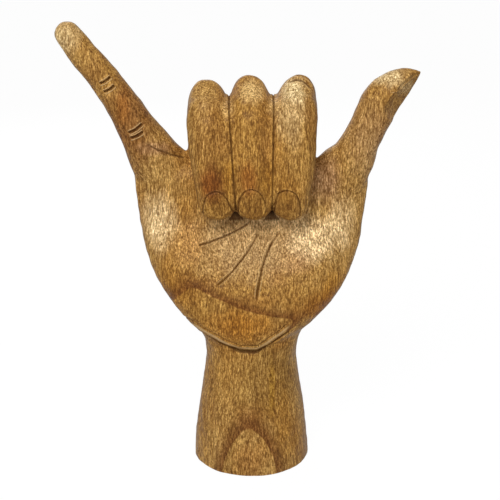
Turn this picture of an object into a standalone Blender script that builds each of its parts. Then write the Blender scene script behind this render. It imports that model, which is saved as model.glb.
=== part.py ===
"""Carved wooden hand on its wrist: three fingers curled, thumb and little finger held out.

The hand stands on its cut wrist, palm to the front (-Y), thumb to the right (+X).
The origin is the middle of the foot. Lengths are in metres. The tables hold shares of the
named sizes above them, so that each size can be changed by itself.

The forms are lofted one by one, blended into one block as the carver leaves it, and the
block is then divided at the carved lines into the parts of the hand.
"""
import math

import bmesh
import bpy
import numpy as np

MM = 0.001
COLLECTION = "carved_hand"
CUTTER_COLLECTION = "carved_hand_cutters"

# Wrist, measured from the middle plane of the hand where front and back are named
FOOT_WIDTH = 79.6 * MM
FOOT_DEPTH = 80.0 * MM
NECK_HEIGHT = 77.0 * MM
NECK_WIDTH = 61.8 * MM
NECK_FRONT = 27.0 * MM
NECK_BACK = 28.5 * MM

# Palm
KNUCKLE_HEIGHT = 198.0 * MM
PALM_WIDTH = 156.0 * MM
PALM_BACK = 27.0 * MM
HEEL_FRONT = 34.2 * MM
HOLLOW_FRONT = 11.5 * MM
CREASE_LEAN = 0.56
KNUCKLE_CROWN = 12.0 * MM

# Rows of the wrist: share of neck height, share of the way from foot to neck size, squareness
WRIST_ROWS = (
    (-0.10, 0.00, 2.0),
    (0.00, 0.00, 2.0),
    (0.22, 0.13, 2.0),
    (0.48, 0.41, 2.05),
    (0.74, 0.76, 2.1),
    (0.92, 0.97, 2.15),
)
# Where the carved crease under the heel crosses the sides, as a share of the rise to the knuckles
CREASE_SHARE = 0.235
# Rows of the palm: share of the rise from neck to knuckles, share of the way from neck to
# palm width, share of the way from neck front to heel front, share of the way from heel
# front back to the hollow, lean as a share of the crease's lean, squareness
PALM_ROWS = (
    (0.00, 0.00, 0.00, 0.0, 0.36, 2.2),
    (0.07, 0.015, 0.00, 0.0, 0.58, 2.2),
    (0.15, 0.07, 0.00, 0.0, 0.85, 2.2),
    (CREASE_SHARE, 0.20, 0.03, 0.0, 0.99, 2.25),
    (0.252, 0.245, 0.62, 0.0, 1.00, 2.25),
    (0.285, 0.33, 0.93, 0.0, 0.97, 2.3),
    (0.37, 0.525, 1.00, 0.0, 0.78, 2.35),
    (0.47, 0.705, 0.98, 0.08, 0.55, 2.4),
    (0.57, 0.826, 0.95, 0.40, 0.35, 2.45),
    (0.67, 0.892, 0.90, 0.74, 0.18, 2.5),
    (0.785, 0.934, 0.85, 0.94, 0.08, 2.5),
    (0.90, 0.968, 0.85, 0.99, 0.00, 2.5),
    (1.00, 0.985, 0.85, 0.98, 0.00, 2.45),
)
# Rows that close the knuckle crown: share of the crown's rise, share of the palm's width and depth
CROWN_ROWS = ((0.30, 0.965, 0.90), (0.62, 0.88, 0.74), (0.88, 0.74, 0.52), (1.00, 0.60, 0.30))

# Mounds on the front of the palm, at the thumb's root and along the outer edge
THENAR_HEIGHT = 7.5 * MM
OUTER_HEIGHT = 6.0 * MM
# Middle and spread, as shares of half the palm width, then of the rise from neck to knuckles
THENAR_SPREAD = (0.56, 0.27, 0.57, 0.25)
OUTER_SPREAD = (-0.60, 0.26, 0.58, 0.25)

# Curled fingers
FINGER_WIDTH = 28.2 * MM
FINGER_SQUARENESS = 2.25
TOP_NARROWING = 0.8 * MM
FINGERTIP_WIDTH = 24.6 * MM
FINGERTIP_OVERLAP = 0.6 * MM
FINGER_RISE = 68.7 * MM
RING_FINGER_DROP = 3.2 * MM
FINGERTIP_DROP = 19.4 * MM
FINGERTIP_FRONT = 36.6 * MM
FINGER_TOP_BACK = 7.0 * MM
FINGER_BOW = 1.0 * MM
KNUCKLE_BACK = 28.6 * MM
ROOT_TUCK = 2.0 * MM
# Where the top joint turns down: shares of the way from its top to the tip, forward and down
FOLD_FORWARD = 0.72
FOLD_DOWN = 0.14

# Little finger and thumb: how far the root's middle lies inside the palm's side and below the
# knuckle line, and how far the middle of the tip lies out and up from there
LIMB_SQUARENESS = 2.0
LITTLE_ROOT_INSET = 26.0 * MM
LITTLE_ROOT_DROP = 3.0 * MM
LITTLE_ROOT_RADIUS = 24.0 * MM
LITTLE_REACH = 63.6 * MM
LITTLE_RISE = 95.9 * MM
LITTLE_ROOT_BACK = 6.0 * MM
LITTLE_TIP_FRONT = 2.0 * MM
# Share of the reach, share of the rise, radius as a share of the root's, depth as a share of width
LITTLE_ROWS = (
    (0.00, 0.00, 1.00, 0.48),
    (0.115, 0.136, 0.82, 0.62),
    (0.215, 0.236, 0.655, 0.80),
    (0.275, 0.294, 0.585, 0.88),
    (0.330, 0.351, 0.530, 0.93),
    (0.415, 0.461, 0.476, 0.95),
    (0.514, 0.570, 0.450, 0.97),
    (0.632, 0.678, 0.420, 1.00),
    (0.754, 0.785, 0.412, 1.00),
    (0.879, 0.892, 0.408, 1.00),
    (1.00, 1.00, 0.382, 1.00),
)
THUMB_ROOT_INSET = 26.0 * MM
THUMB_ROOT_DROP = 8.0 * MM
THUMB_ROOT_RADIUS = 24.0 * MM
THUMB_REACH = 51.5 * MM
THUMB_RISE = 77.0 * MM
THUMB_TIP_FRONT = 5.0 * MM
THUMB_ROWS = (
    (0.00, 0.00, 1.00, 0.46),
    (0.135, 0.182, 0.80, 0.66),
    (0.255, 0.292, 0.625, 0.88),
    (0.335, 0.377, 0.535, 0.97),
    (0.408, 0.494, 0.505, 1.00),
    (0.489, 0.623, 0.508, 0.97),
    (0.598, 0.779, 0.542, 0.90),
    (0.728, 0.89, 0.458, 0.90),
    (0.882, 0.96, 0.325, 0.92),
    (1.00, 1.003, 0.185, 0.95),
)

# Division into parts. The root seams start in the valleys beside the curled fingers and run
# out to the sides of the hand, rising or dropping by the given heights on the way.
SEAM = 0.3 * MM
VALLEY_MARGIN = 0.2 * MM
VALLEY_RISE = 15.5 * MM
LITTLE_SEAM_RISE = 8.5 * MM
THUMB_SEAM_DROP = 16.0 * MM
FINGER_SEAM_RISE = 7.0 * MM
FINGERTIP_SEAT = 3.3 * MM
FINGERTIP_CLEARANCE = 1.5 * MM
CUT_REACH = 400.0 * MM

# Mesh
RING_POINTS = 48
STEPS_BETWEEN_ROWS = 4
VOXEL = 1.3 * MM
SMOOTH_ROUNDS = 5
FACE_SHARE = 0.055
DOME_ANGLES = (75, 55, 35, 15)
ACROSS_HAND = np.array([1.0, 0.0, 0.0])
THROUGH_HAND = np.array([0.0, 1.0, 0.0])

# Which curled finger is which, counted across the hand from the middle one
CURLED_FINGERS = {"ring_finger": -1, "middle_finger": 0, "index_finger": 1}
CUT_PARTS = ("wrist_pedestal", "little_finger", "thumb", *CURLED_FINGERS)

WOOD_TONES = {
    "wrist_pedestal": (0.42, 0.22, 0.075),
    "palm": (0.46, 0.25, 0.09),
    "little_finger": (0.50, 0.27, 0.10),
    "ring_finger": (0.52, 0.28, 0.10),
    "middle_finger": (0.52, 0.29, 0.11),
    "index_finger": (0.51, 0.28, 0.10),
    "thumb": (0.47, 0.26, 0.09),
}
WOOD_ROUGHNESS = 0.45


def clear_scene():
    """Remove every object that the file starts with."""
    for old in list(bpy.data.objects):
        bpy.data.objects.remove(old, do_unlink=True)


def make_collection(name):
    """Make a collection of that name under the scene."""
    made = bpy.data.collections.new(name)
    bpy.context.scene.collection.children.link(made)
    return made


def smooth_rows(rows):
    """Fill rows in between with a Catmull-Rom curve through the given ones."""
    table = np.array(rows, dtype=float)
    before = np.vstack([2 * table[0] - table[1], table[:-1]])
    after = np.vstack([table[2:], 2 * table[-1] - table[-2]])
    filled = []
    for i in range(len(table) - 1):
        p0, p1, p2, p3 = before[i], table[i], table[i + 1], after[i]
        for t in np.arange(STEPS_BETWEEN_ROWS) / STEPS_BETWEEN_ROWS:
            filled.append(0.5 * (2 * p1 + (p2 - p0) * t + (2 * p0 - 5 * p1 + 4 * p2 - p3) * t ** 2
                                 + (3 * p1 - p0 - 3 * p2 + p3) * t ** 3))
    filled.append(table[-1])
    return np.array(filled)


def blend(start, end, share):
    """Value at a share of the way from start to end."""
    return start + (end - start) * share


def loft(name, rings, collection):
    """Skin rings of points into one closed solid with a fan at each end."""
    points = len(rings[0])
    body = bmesh.new()
    grid = [[body.verts.new(p) for p in ring] for ring in rings]
    for low, high in zip(grid[:-1], grid[1:]):
        for i in range(points):
            j = (i + 1) % points
            body.faces.new((low[i], low[j], high[j], high[i]))
    for ring in (grid[0], grid[-1]):
        middle = body.verts.new(sum((v.co for v in ring), start=ring[0].co * 0) / points)
        for i in range(points):
            body.faces.new((ring[i], ring[(i + 1) % points], middle))
    bmesh.ops.recalc_face_normals(body, faces=body.faces)
    mesh = bpy.data.meshes.new(name)
    body.to_mesh(mesh)
    body.free()
    made = bpy.data.objects.new(name, mesh)
    collection.objects.link(made)
    return made


def oval(half_width, front, back, squareness):
    """Super-ellipse with its own depth in front of and behind the middle plane."""
    turn = np.arange(RING_POINTS) * 2 * math.pi / RING_POINTS
    across, deep = np.cos(turn), np.sin(turn)
    power = 2 / squareness
    x = half_width * np.sign(across) * np.abs(across) ** power
    y = np.where(deep < 0, -front, back) * np.abs(deep) ** power
    return x, y


def mound(x, z, height, shape):
    """Height at x, z of a soft round mound on the palm, given its full height and its shares."""
    middle_x, spread_x, middle_z, spread_z = shape
    out = x / (PALM_WIDTH / 2)
    up = (z - NECK_HEIGHT) / (KNUCKLE_HEIGHT - NECK_HEIGHT)
    return height * np.exp(-((out - middle_x) / spread_x) ** 2 - ((up - middle_z) / spread_z) ** 2)


def body_sizes():
    """Rows of side height, lean, half width, front, back, squareness from foot to knuckles."""
    rows = []
    for rise, taper, squareness in WRIST_ROWS:
        rows.append((rise * NECK_HEIGHT, 0.0, blend(FOOT_WIDTH, NECK_WIDTH, taper) / 2,
                     blend(FOOT_DEPTH / 2, NECK_FRONT, taper),
                     blend(FOOT_DEPTH / 2, NECK_BACK, taper), squareness))
    for rise, spread, heel, hollow, lean, squareness in PALM_ROWS:
        height = blend(NECK_HEIGHT, KNUCKLE_HEIGHT, rise)
        front = blend(blend(NECK_FRONT, HEEL_FRONT, heel), HOLLOW_FRONT, hollow)
        rows.append((height, lean * CREASE_LEAN, blend(NECK_WIDTH, PALM_WIDTH, spread) / 2,
                     front, blend(NECK_BACK, PALM_BACK, min(1.0, 2 * rise)), squareness))
    side, lean, width, front, back, squareness = rows[-1]
    for rise, wide, deep in CROWN_ROWS:
        rows.append((side + rise * KNUCKLE_CROWN, lean, width * wide, front * deep, back * deep, squareness))
    return smooth_rows(rows)


def make_body(collection):
    """Wrist and palm: ovals stacked from the foot to the knuckles, leaning at the heel."""
    rings = []
    for side, lean, half_width, front, back, squareness in body_sizes():
        x, y = oval(half_width, front, back, squareness)
        z = side + lean * y
        facing = np.clip(-y / front, 0, 1)
        y = y - facing * (mound(x, z, THENAR_HEIGHT, THENAR_SPREAD) + mound(x, z, OUTER_HEIGHT, OUTER_SPREAD))
        rings.append(np.stack([x, y, z], axis=1))
    return loft("body_form", rings, collection)


def make_limb(name, path, wide, deep, squareness, deep_axis, collection):
    """Rounded limb along a path, closed by domes.

    The half widths and half depths follow the path's points, and the depth lies along
    the given axis as nearly as the path allows.
    """
    along = np.gradient(path, axis=0)
    along /= np.linalg.norm(along, axis=1)[:, None]
    side = np.cross(along, deep_axis)
    side /= np.linalg.norm(side, axis=1)[:, None]
    normal = np.cross(side, along)
    across, outward = oval(1.0, 1.0, 1.0, squareness)
    rings = []
    for end, sense in ((0, -1), (-1, 1)):
        domes = []
        for angle in np.radians(DOME_ANGLES):
            reach = min(wide[end], deep[end]) * math.sin(angle)
            domes.append((path[end] + sense * reach * along[end], math.cos(angle), end))
        rows = domes if end == 0 else domes[::-1]
        if end == 0:
            rows = rows + [(path[i], 1.0, i) for i in range(len(path))]
        for centre, shrink, i in rows:
            rings.append(centre + shrink * (wide[i] * across[:, None] * side[i]
                                            + deep[i] * outward[:, None] * normal[i]))
    return loft(name, rings, collection)


def make_curled_finger(name, order, collection):
    """Curled finger: up from the knuckle, over the bent joint, down to the tip on the palm.

    It is one limb up to the joint, one over it and one down to the tip. The order counts
    the fingers across the hand from the middle one.
    """
    radius = FINGER_WIDTH / 2 - TOP_NARROWING
    tip_radius = FINGERTIP_WIDTH / 2
    top_x = order * FINGER_WIDTH
    top_z = KNUCKLE_HEIGHT + FINGER_RISE - (RING_FINGER_DROP if order < 0 else 0.0) - radius
    tip = np.array([order * (FINGERTIP_WIDTH - FINGERTIP_OVERLAP), tip_radius - FINGERTIP_FRONT,
                    KNUCKLE_HEIGHT - FINGERTIP_DROP + tip_radius])
    joint = np.array([top_x, -FINGER_TOP_BACK, top_z])
    bend = np.array([top_x, blend(-FINGER_TOP_BACK, tip[1], FOLD_FORWARD), blend(top_z, tip[2], FOLD_DOWN)])
    knuckle = np.array([top_x, KNUCKLE_BACK - radius, KNUCKLE_HEIGHT])
    root = knuckle - (0.0, ROOT_TUCK, radius)
    halfway = (bend + tip) / 2 - (0.0, FINGER_BOW, 0.0)
    limbs = {"rise": ((root, knuckle, (knuckle + joint) / 2, joint), radius),
             "fold": ((joint, bend), radius),
             "fall": ((bend, halfway, tip), tip_radius)}
    forms = []
    for limb, (points, end_radius) in limbs.items():
        path = smooth_rows(points)
        wide = np.linspace(radius, end_radius, len(path))
        forms.append(make_limb(f"{name}_{limb}_form", path, wide, wide, FINGER_SQUARENESS,
                               ACROSS_HAND, collection))
    return forms


def make_little_finger(collection):
    """Little finger: out from the palm's outer corner and slightly forward to its tip."""
    rows = smooth_rows(LITTLE_ROWS)
    path = np.stack([-(PALM_WIDTH / 2 - LITTLE_ROOT_INSET + rows[:, 0] * LITTLE_REACH),
                     blend(LITTLE_ROOT_BACK, -LITTLE_TIP_FRONT, rows[:, 1]),
                     KNUCKLE_HEIGHT - LITTLE_ROOT_DROP + rows[:, 1] * LITTLE_RISE], axis=1)
    wide = rows[:, 2] * LITTLE_ROOT_RADIUS
    return make_limb("little_finger_form", path, wide, wide * rows[:, 3], LIMB_SQUARENESS,
                     THROUGH_HAND, collection)


def make_thumb(collection):
    """Thumb: a limb that narrows, swells at the pad and bends out to its tip."""
    rows = smooth_rows(THUMB_ROWS)
    path = np.stack([PALM_WIDTH / 2 - THUMB_ROOT_INSET + rows[:, 0] * THUMB_REACH,
                     -THUMB_TIP_FRONT * rows[:, 1],
                     KNUCKLE_HEIGHT - THUMB_ROOT_DROP + rows[:, 1] * THUMB_RISE], axis=1)
    wide = rows[:, 2] * THUMB_ROOT_RADIUS
    return make_limb("thumb_form", path, wide, wide * rows[:, 3], LIMB_SQUARENESS, THROUGH_HAND, collection)


def blended_block(forms, collection):
    """Blend the forms into one skin, soften the junctions and thin out the faces."""
    bpy.context.view_layer.update()
    whole = bmesh.new()
    for form in forms:
        whole.from_mesh(form.data)
        bpy.data.objects.remove(form, do_unlink=True)
    mesh = bpy.data.meshes.new("hand_block")
    whole.to_mesh(mesh)
    whole.free()
    block = bpy.data.objects.new("hand_block", mesh)
    collection.objects.link(block)
    remesh = block.modifiers.new("one_skin", "REMESH")
    remesh.mode = "VOXEL"
    remesh.voxel_size = VOXEL
    soften = block.modifiers.new("soften", "SMOOTH")
    soften.factor = 0.5
    soften.iterations = SMOOTH_ROUNDS
    thin = block.modifiers.new("thin_out", "DECIMATE")
    thin.ratio = FACE_SHARE
    bpy.context.view_layer.update()
    evaluated = block.evaluated_get(bpy.context.evaluated_depsgraph_get())
    finished = bpy.data.meshes.new_from_object(evaluated)
    bpy.data.objects.remove(block, do_unlink=True)
    return finished


def prism(name, corners, collection):
    """Closed solid between two flat outlines that have the same number of corners."""
    near, far = corners
    body = bmesh.new()
    low = [body.verts.new(p) for p in near]
    high = [body.verts.new(p) for p in far]
    body.faces.new(low)
    body.faces.new(high)
    for i in range(len(low)):
        j = (i + 1) % len(low)
        body.faces.new((low[i], low[j], high[j], high[i]))
    bmesh.ops.recalc_face_normals(body, faces=body.faces)
    mesh = bpy.data.meshes.new(name)
    body.to_mesh(mesh)
    body.free()
    made = bpy.data.objects.new(name, mesh)
    made.hide_render = True
    made.display_type = "WIRE"
    collection.objects.link(made)
    return made


def wrist_outline(grow):
    """Side view of the wrist's share: flat foot, top leaning with the heel crease.

    A grown outline also takes in what the block has below the foot.
    """
    middle = blend(NECK_HEIGHT, KNUCKLE_HEIGHT, CREASE_SHARE) + grow * math.hypot(1, CREASE_LEAN)
    floor = 0.0 if grow < 0 else -FOOT_DEPTH
    return [(-FOOT_DEPTH, floor), (FOOT_DEPTH, floor), (FOOT_DEPTH, middle + CREASE_LEAN * FOOT_DEPTH),
            (-FOOT_DEPTH, middle - CREASE_LEAN * FOOT_DEPTH)]


def finger_outline(grow):
    """Side view of the curled fingers' share: above the knuckles and in front of the palm."""
    seat_y = -HOLLOW_FRONT - FINGERTIP_SEAT + grow
    floor_z = KNUCKLE_HEIGHT + FINGER_SEAM_RISE - grow
    low_z = KNUCKLE_HEIGHT - FINGERTIP_DROP - FINGERTIP_CLEARANCE
    return [(-CUT_REACH, low_z), (seat_y, low_z), (seat_y, floor_z), (CUT_REACH, floor_z),
            (CUT_REACH, CUT_REACH), (-CUT_REACH, CUT_REACH)]


def valley_x():
    """How far the valleys beside the three curled fingers lie from the middle of the hand."""
    return 1.5 * FINGER_WIDTH + VALLEY_MARGIN


def finger_edge(order, side, z):
    """Place across the hand, at height z, of one side of a curled finger's share.

    The two seams between the fingers draw together towards the tips. The outer sides
    of the ring and index fingers end in the valleys.
    """
    if order == side:
        return side * valley_x()
    tip_z = KNUCKLE_HEIGHT - FINGERTIP_DROP
    share = (z - tip_z) / (FINGER_RISE + FINGERTIP_DROP)
    spacing = blend(FINGERTIP_WIDTH - FINGERTIP_OVERLAP, FINGER_WIDTH, share)
    return (order + side / 2) * spacing


def curled_finger_cutter(name, order, grow, collection):
    """Cutter that holds a curled finger's share of the block."""
    sides = [[(finger_edge(order, side, z) + side * grow, y, z) for y, z in finger_outline(grow)]
             for side in (-1, 1)]
    return prism(name, sides, collection)


def root_cutter(name, sense, seam_rise, grow, collection):
    """Cutter that holds an outstretched finger's share: all that lies above its root seam."""
    valley = valley_x()
    slope = seam_rise / (PALM_WIDTH / 2 - valley)
    seam_z = KNUCKLE_HEIGHT + VALLEY_RISE - grow * math.hypot(1, slope)
    outline = [(valley - grow, seam_z), (CUT_REACH, seam_z + slope * (CUT_REACH - valley)),
               (CUT_REACH, CUT_REACH), (valley - grow, CUT_REACH)]
    return prism(name, [[(sense * x, y, z) for x, z in outline] for y in (-CUT_REACH, CUT_REACH)], collection)


def part_cutter(part, grow, collection):
    """Cutter that holds one part's share of the block, grown by a distance at its seams."""
    name = f"{part}_{'clearance' if grow > 0 else 'share'}"
    if part in CURLED_FINGERS:
        return curled_finger_cutter(name, CURLED_FINGERS[part], grow, collection)
    if part == "little_finger":
        return root_cutter(name, -1, LITTLE_SEAM_RISE, grow, collection)
    if part == "thumb":
        return root_cutter(name, 1, -THUMB_SEAM_DROP, grow, collection)
    sides = [[(x, y, z) for y, z in wrist_outline(grow)] for x in (-CUT_REACH, CUT_REACH)]
    return prism(name, sides, collection)


def wood(part):
    """Oiled hardwood in the part's own tone."""
    made = bpy.data.materials.new(f"{part}_wood")
    made.use_nodes = True
    shader = made.node_tree.nodes["Principled BSDF"]
    shader.inputs["Base Color"].default_value = (*WOOD_TONES[part], 1.0)
    shader.inputs["Roughness"].default_value = WOOD_ROUGHNESS
    shader.inputs["Metallic"].default_value = 0.0
    return made


def cut_part(part, block, cutters, operation, collection):
    """One part of the hand: the block cut by the given cutters."""
    made = bpy.data.objects.new(part, block.copy())
    collection.objects.link(made)
    for cutter in cutters:
        cut = made.modifiers.new(cutter.name, "BOOLEAN")
        cut.operation = operation
        cut.solver = "EXACT"
        cut.object = cutter
    made.data.materials.clear()
    made.data.materials.append(wood(part))
    made.data.shade_smooth()
    return made


def main():
    """Build the hand."""
    clear_scene()
    parts = make_collection(COLLECTION)
    cutters = make_collection(CUTTER_COLLECTION)
    forms = [make_body(parts), make_little_finger(parts), make_thumb(parts)]
    for name, order in CURLED_FINGERS.items():
        forms += make_curled_finger(name, order, parts)
    block = blended_block(forms, parts)
    for part in CUT_PARTS:
        cut_part(part, block, [part_cutter(part, -SEAM / 2, cutters)], "INTERSECT", parts)
    clearing = [part_cutter(part, SEAM / 2, cutters) for part in CUT_PARTS]
    cut_part("palm", block, clearing, "DIFFERENCE", parts)


main()
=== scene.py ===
"""Looks of a carved wooden hand that stands on its cut wrist.

Three fingers are curled onto the palm, and the thumb and the little finger are held out.
The hand is one block of oiled hardwood, so its skin is worked out as one surface: closed
forms are blended, smoothed and cut with the carver's strokes. The skin is then divided
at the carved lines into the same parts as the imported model, each a closed piece.

Sizes are in millimetres until a mesh is written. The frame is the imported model's: palm to
the front (-Y), thumb to the right (+X), the middle of the foot at the origin.
"""
import logging
import math
from dataclasses import dataclass, field, replace
from enum import Enum

import bmesh
import bpy
import numpy as np
from mathutils import Euler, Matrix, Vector


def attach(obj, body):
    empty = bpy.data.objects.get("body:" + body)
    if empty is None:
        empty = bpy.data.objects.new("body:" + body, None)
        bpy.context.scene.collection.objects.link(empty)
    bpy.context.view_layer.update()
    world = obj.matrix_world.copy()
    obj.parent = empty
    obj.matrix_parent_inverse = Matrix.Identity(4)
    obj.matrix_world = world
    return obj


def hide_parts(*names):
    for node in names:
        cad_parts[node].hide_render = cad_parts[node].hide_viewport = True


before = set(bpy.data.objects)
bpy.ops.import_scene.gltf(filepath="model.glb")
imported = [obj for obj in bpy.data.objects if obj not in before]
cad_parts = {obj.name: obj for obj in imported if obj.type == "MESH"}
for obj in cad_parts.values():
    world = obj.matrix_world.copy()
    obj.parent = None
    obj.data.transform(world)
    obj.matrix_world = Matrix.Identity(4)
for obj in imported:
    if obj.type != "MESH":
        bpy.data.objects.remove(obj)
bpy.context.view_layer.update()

MM = 0.001
SLOT = "oiled_hardwood"
# Shared by several forms: how far a dome turns in, the rows between a curve's points, how
# squarely a point has to face a cut, and a distance that no cut reaches.
DOME_TURN = math.radians(85)
CURVE_STEPS = 10
LEAST_FACING = 0.1
FAR_OFF = 99.0
log = logging.getLogger("carved_hand")

Array = np.ndarray
Pair = tuple[float, float]
Triple = tuple[float, float, float]
Socket = bpy.types.NodeSocket
ACROSS = np.array([1.0, 0.0, 0.0])
THROUGH = np.array([0.0, 1.0, 0.0])


def blend(start: float, end: float, share: float) -> float:
    """Value at a share of the way from start to end."""
    return start + (end - start) * share


def soft_step(value: Array, low: float, high: float) -> Array:
    """Rise from 0 at low to 1 at high, as 3t squared less 2t cubed."""
    t = np.clip((value - low) / (high - low), 0.0, 1.0)
    return t * t * (3.0 - 2.0 * t)


def tent(gap: Array) -> Array:
    """1 in the middle, falling in straight lines to 0 where the gap is 1."""
    return np.clip(1.0 - np.abs(gap), 0.0, 1.0)


def swept(x: Array, slopes: Pair, lowest: Pair) -> Array:
    """Rise of a crease to the right and to the left of its lowest stretch, by a slope each."""
    return slopes[0] * np.maximum(0.0, x - lowest[0]) + slopes[1] * np.maximum(0.0, lowest[1] - x)


def smooth_rows(rows: Array, steps: int) -> Array:
    """Fill rows in between with a Catmull-Rom curve through the given ones.

    Args:
        rows: the rows that the curve runs through.
        steps: how many rows stand for each gap, the first of the two given ones included.

    Returns:
        The filled rows, from the first given row to the last.
    """
    table = np.asarray(rows, dtype=float)
    before = np.vstack([2 * table[0] - table[1], table[:-2]])
    after = np.vstack([table[2:], 2 * table[-1] - table[-2]])
    start, end = table[:-1], table[1:]
    t = (np.arange(steps) / steps)[None, :, None]
    before, start, end, after = (part[:, None, :] for part in (before, start, end, after))
    filled = 0.5 * (2 * start + (end - before) * t
                    + (2 * before - 5 * start + 4 * end - after) * t ** 2
                    + (3 * start - before - 3 * end + after) * t ** 3)
    return np.vstack([filled.reshape(-1, table.shape[1]), table[-1:]])


def oval(half_width: float, front: float, back: float, squareness: float,
         around: int) -> tuple[Array, Array]:
    """Super-ellipse with its own depth in front of and behind the middle plane.

    Args:
        half_width: half the width across the hand.
        front: depth in front of the middle plane.
        back: depth behind it.
        squareness: power of the super-ellipse, 2 for an ellipse.
        around: how many points it has.

    Returns:
        The places across the hand and through it.
    """
    turn = np.arange(around) * 2 * math.pi / around
    across, deep = np.cos(turn), np.sin(turn)
    power = 2 / squareness
    x = half_width * np.sign(across) * np.abs(across) ** power
    y = np.where(deep < 0, -front, back) * np.abs(deep) ** power
    return x, y


@dataclass
class Form:
    """A closed surface: rings of points joined side by side, with a fan at each end."""

    rings: Array

    def points(self) -> Array:
        """Points of the rings, then the middles of the first and the last ring."""
        ends = [self.rings[0].mean(axis=0), self.rings[-1].mean(axis=0)]
        return np.vstack([self.rings.reshape(-1, 3), *ends])

    def triangles(self) -> Array:
        """Triangles of the grid and its two fans, facing outwards."""
        count, around, _ = self.rings.shape
        index = np.arange(count * around).reshape(count, around)
        ahead = np.roll(index, -1, axis=1)
        low, low_ahead, high, high_ahead = index[:-1], ahead[:-1], index[1:], ahead[1:]
        first = np.full(around, count * around)
        return np.vstack([np.stack([low, low_ahead, high_ahead], axis=-1).reshape(-1, 3),
                          np.stack([low, high_ahead, high], axis=-1).reshape(-1, 3),
                          np.stack([ahead[0], index[0], first], axis=-1),
                          np.stack([index[-1], ahead[-1], first + 1], axis=-1)])


@dataclass(frozen=True)
class Section:
    """Section of a limb: power of its super-ellipse, and a crown of its own on one side.

    The crown is the half that faces along the cross product of the path and the deep axis.
    Its top may stand off the middle, by a lean in half depths.
    """

    squareness: float = 2.0
    crown_squareness: float = 2.0
    crown_height: float = 1.0
    crown_lean: float = 0.0

    def points(self, around: int) -> tuple[Array, Array]:
        """Places across and through a section of half width and half depth 1."""
        x, y = oval(1.0, 1.0, 1.0, self.squareness, around)
        crown_x, crown_y = oval(self.crown_height, 1.0, 1.0, self.crown_squareness, around)
        crown_y = crown_y + self.crown_lean * (crown_x / self.crown_height) ** 2
        return np.where(x > 0, crown_x, x), np.where(x > 0, crown_y, y)


def limb(path: Array, wide: Array, deep: Array, section: Section, deep_axis: Array,
         around: int = 96, dome_rings: int = 12) -> Form:
    """Rounded limb along a path, closed by domes.

    Each ring is a section square to the path. A dome's rings shrink by the cosine of an
    angle while they move out along the path by its sine.

    Args:
        path: points that the middle follows.
        wide: half width at each point.
        deep: half depth at each point.
        section: the section's shape.
        deep_axis: direction that the depth lies along, as nearly as the path allows.
        around: points in a ring.
        dome_rings: rings in a dome.

    Returns:
        The limb.
    """
    along = np.gradient(path, axis=0)
    along /= np.linalg.norm(along, axis=1)[:, None]
    side = np.cross(along, deep_axis)
    side /= np.linalg.norm(side, axis=1)[:, None]
    normal = np.cross(along, side)
    angles = np.linspace(DOME_TURN, 0, dome_rings, endpoint=False)
    row = np.concatenate([np.zeros(dome_rings, int), np.arange(len(path)),
                          np.full(dome_rings, len(path) - 1)])
    turn = np.concatenate([-angles, np.zeros(len(path)), angles[::-1]])
    reach = np.minimum(wide[row], deep[row]) * np.sin(turn)
    middle = path[row] + reach[:, None] * along[row]
    x, y = section.points(around)
    shrink = np.cos(turn)[:, None, None]
    rings = middle[:, None, :] + shrink * ((wide[row, None] * x)[:, :, None] * side[row, None, :]
                                           + (deep[row, None] * y)[:, :, None] * normal[row, None, :])
    return Form(rings)


@dataclass(frozen=True)
class Mound:
    """Soft round swelling of the palm: a bell curve across and up."""

    height: float
    out: float
    out_spread: float
    up: float
    up_spread: float

    def at(self, out: Array, up: Array) -> Array:
        """Height at shares of half the palm's width and of its rise."""
        return self.height * np.exp(-((out - self.out) / self.out_spread) ** 2
                                    - ((up - self.up) / self.up_spread) ** 2)


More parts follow.
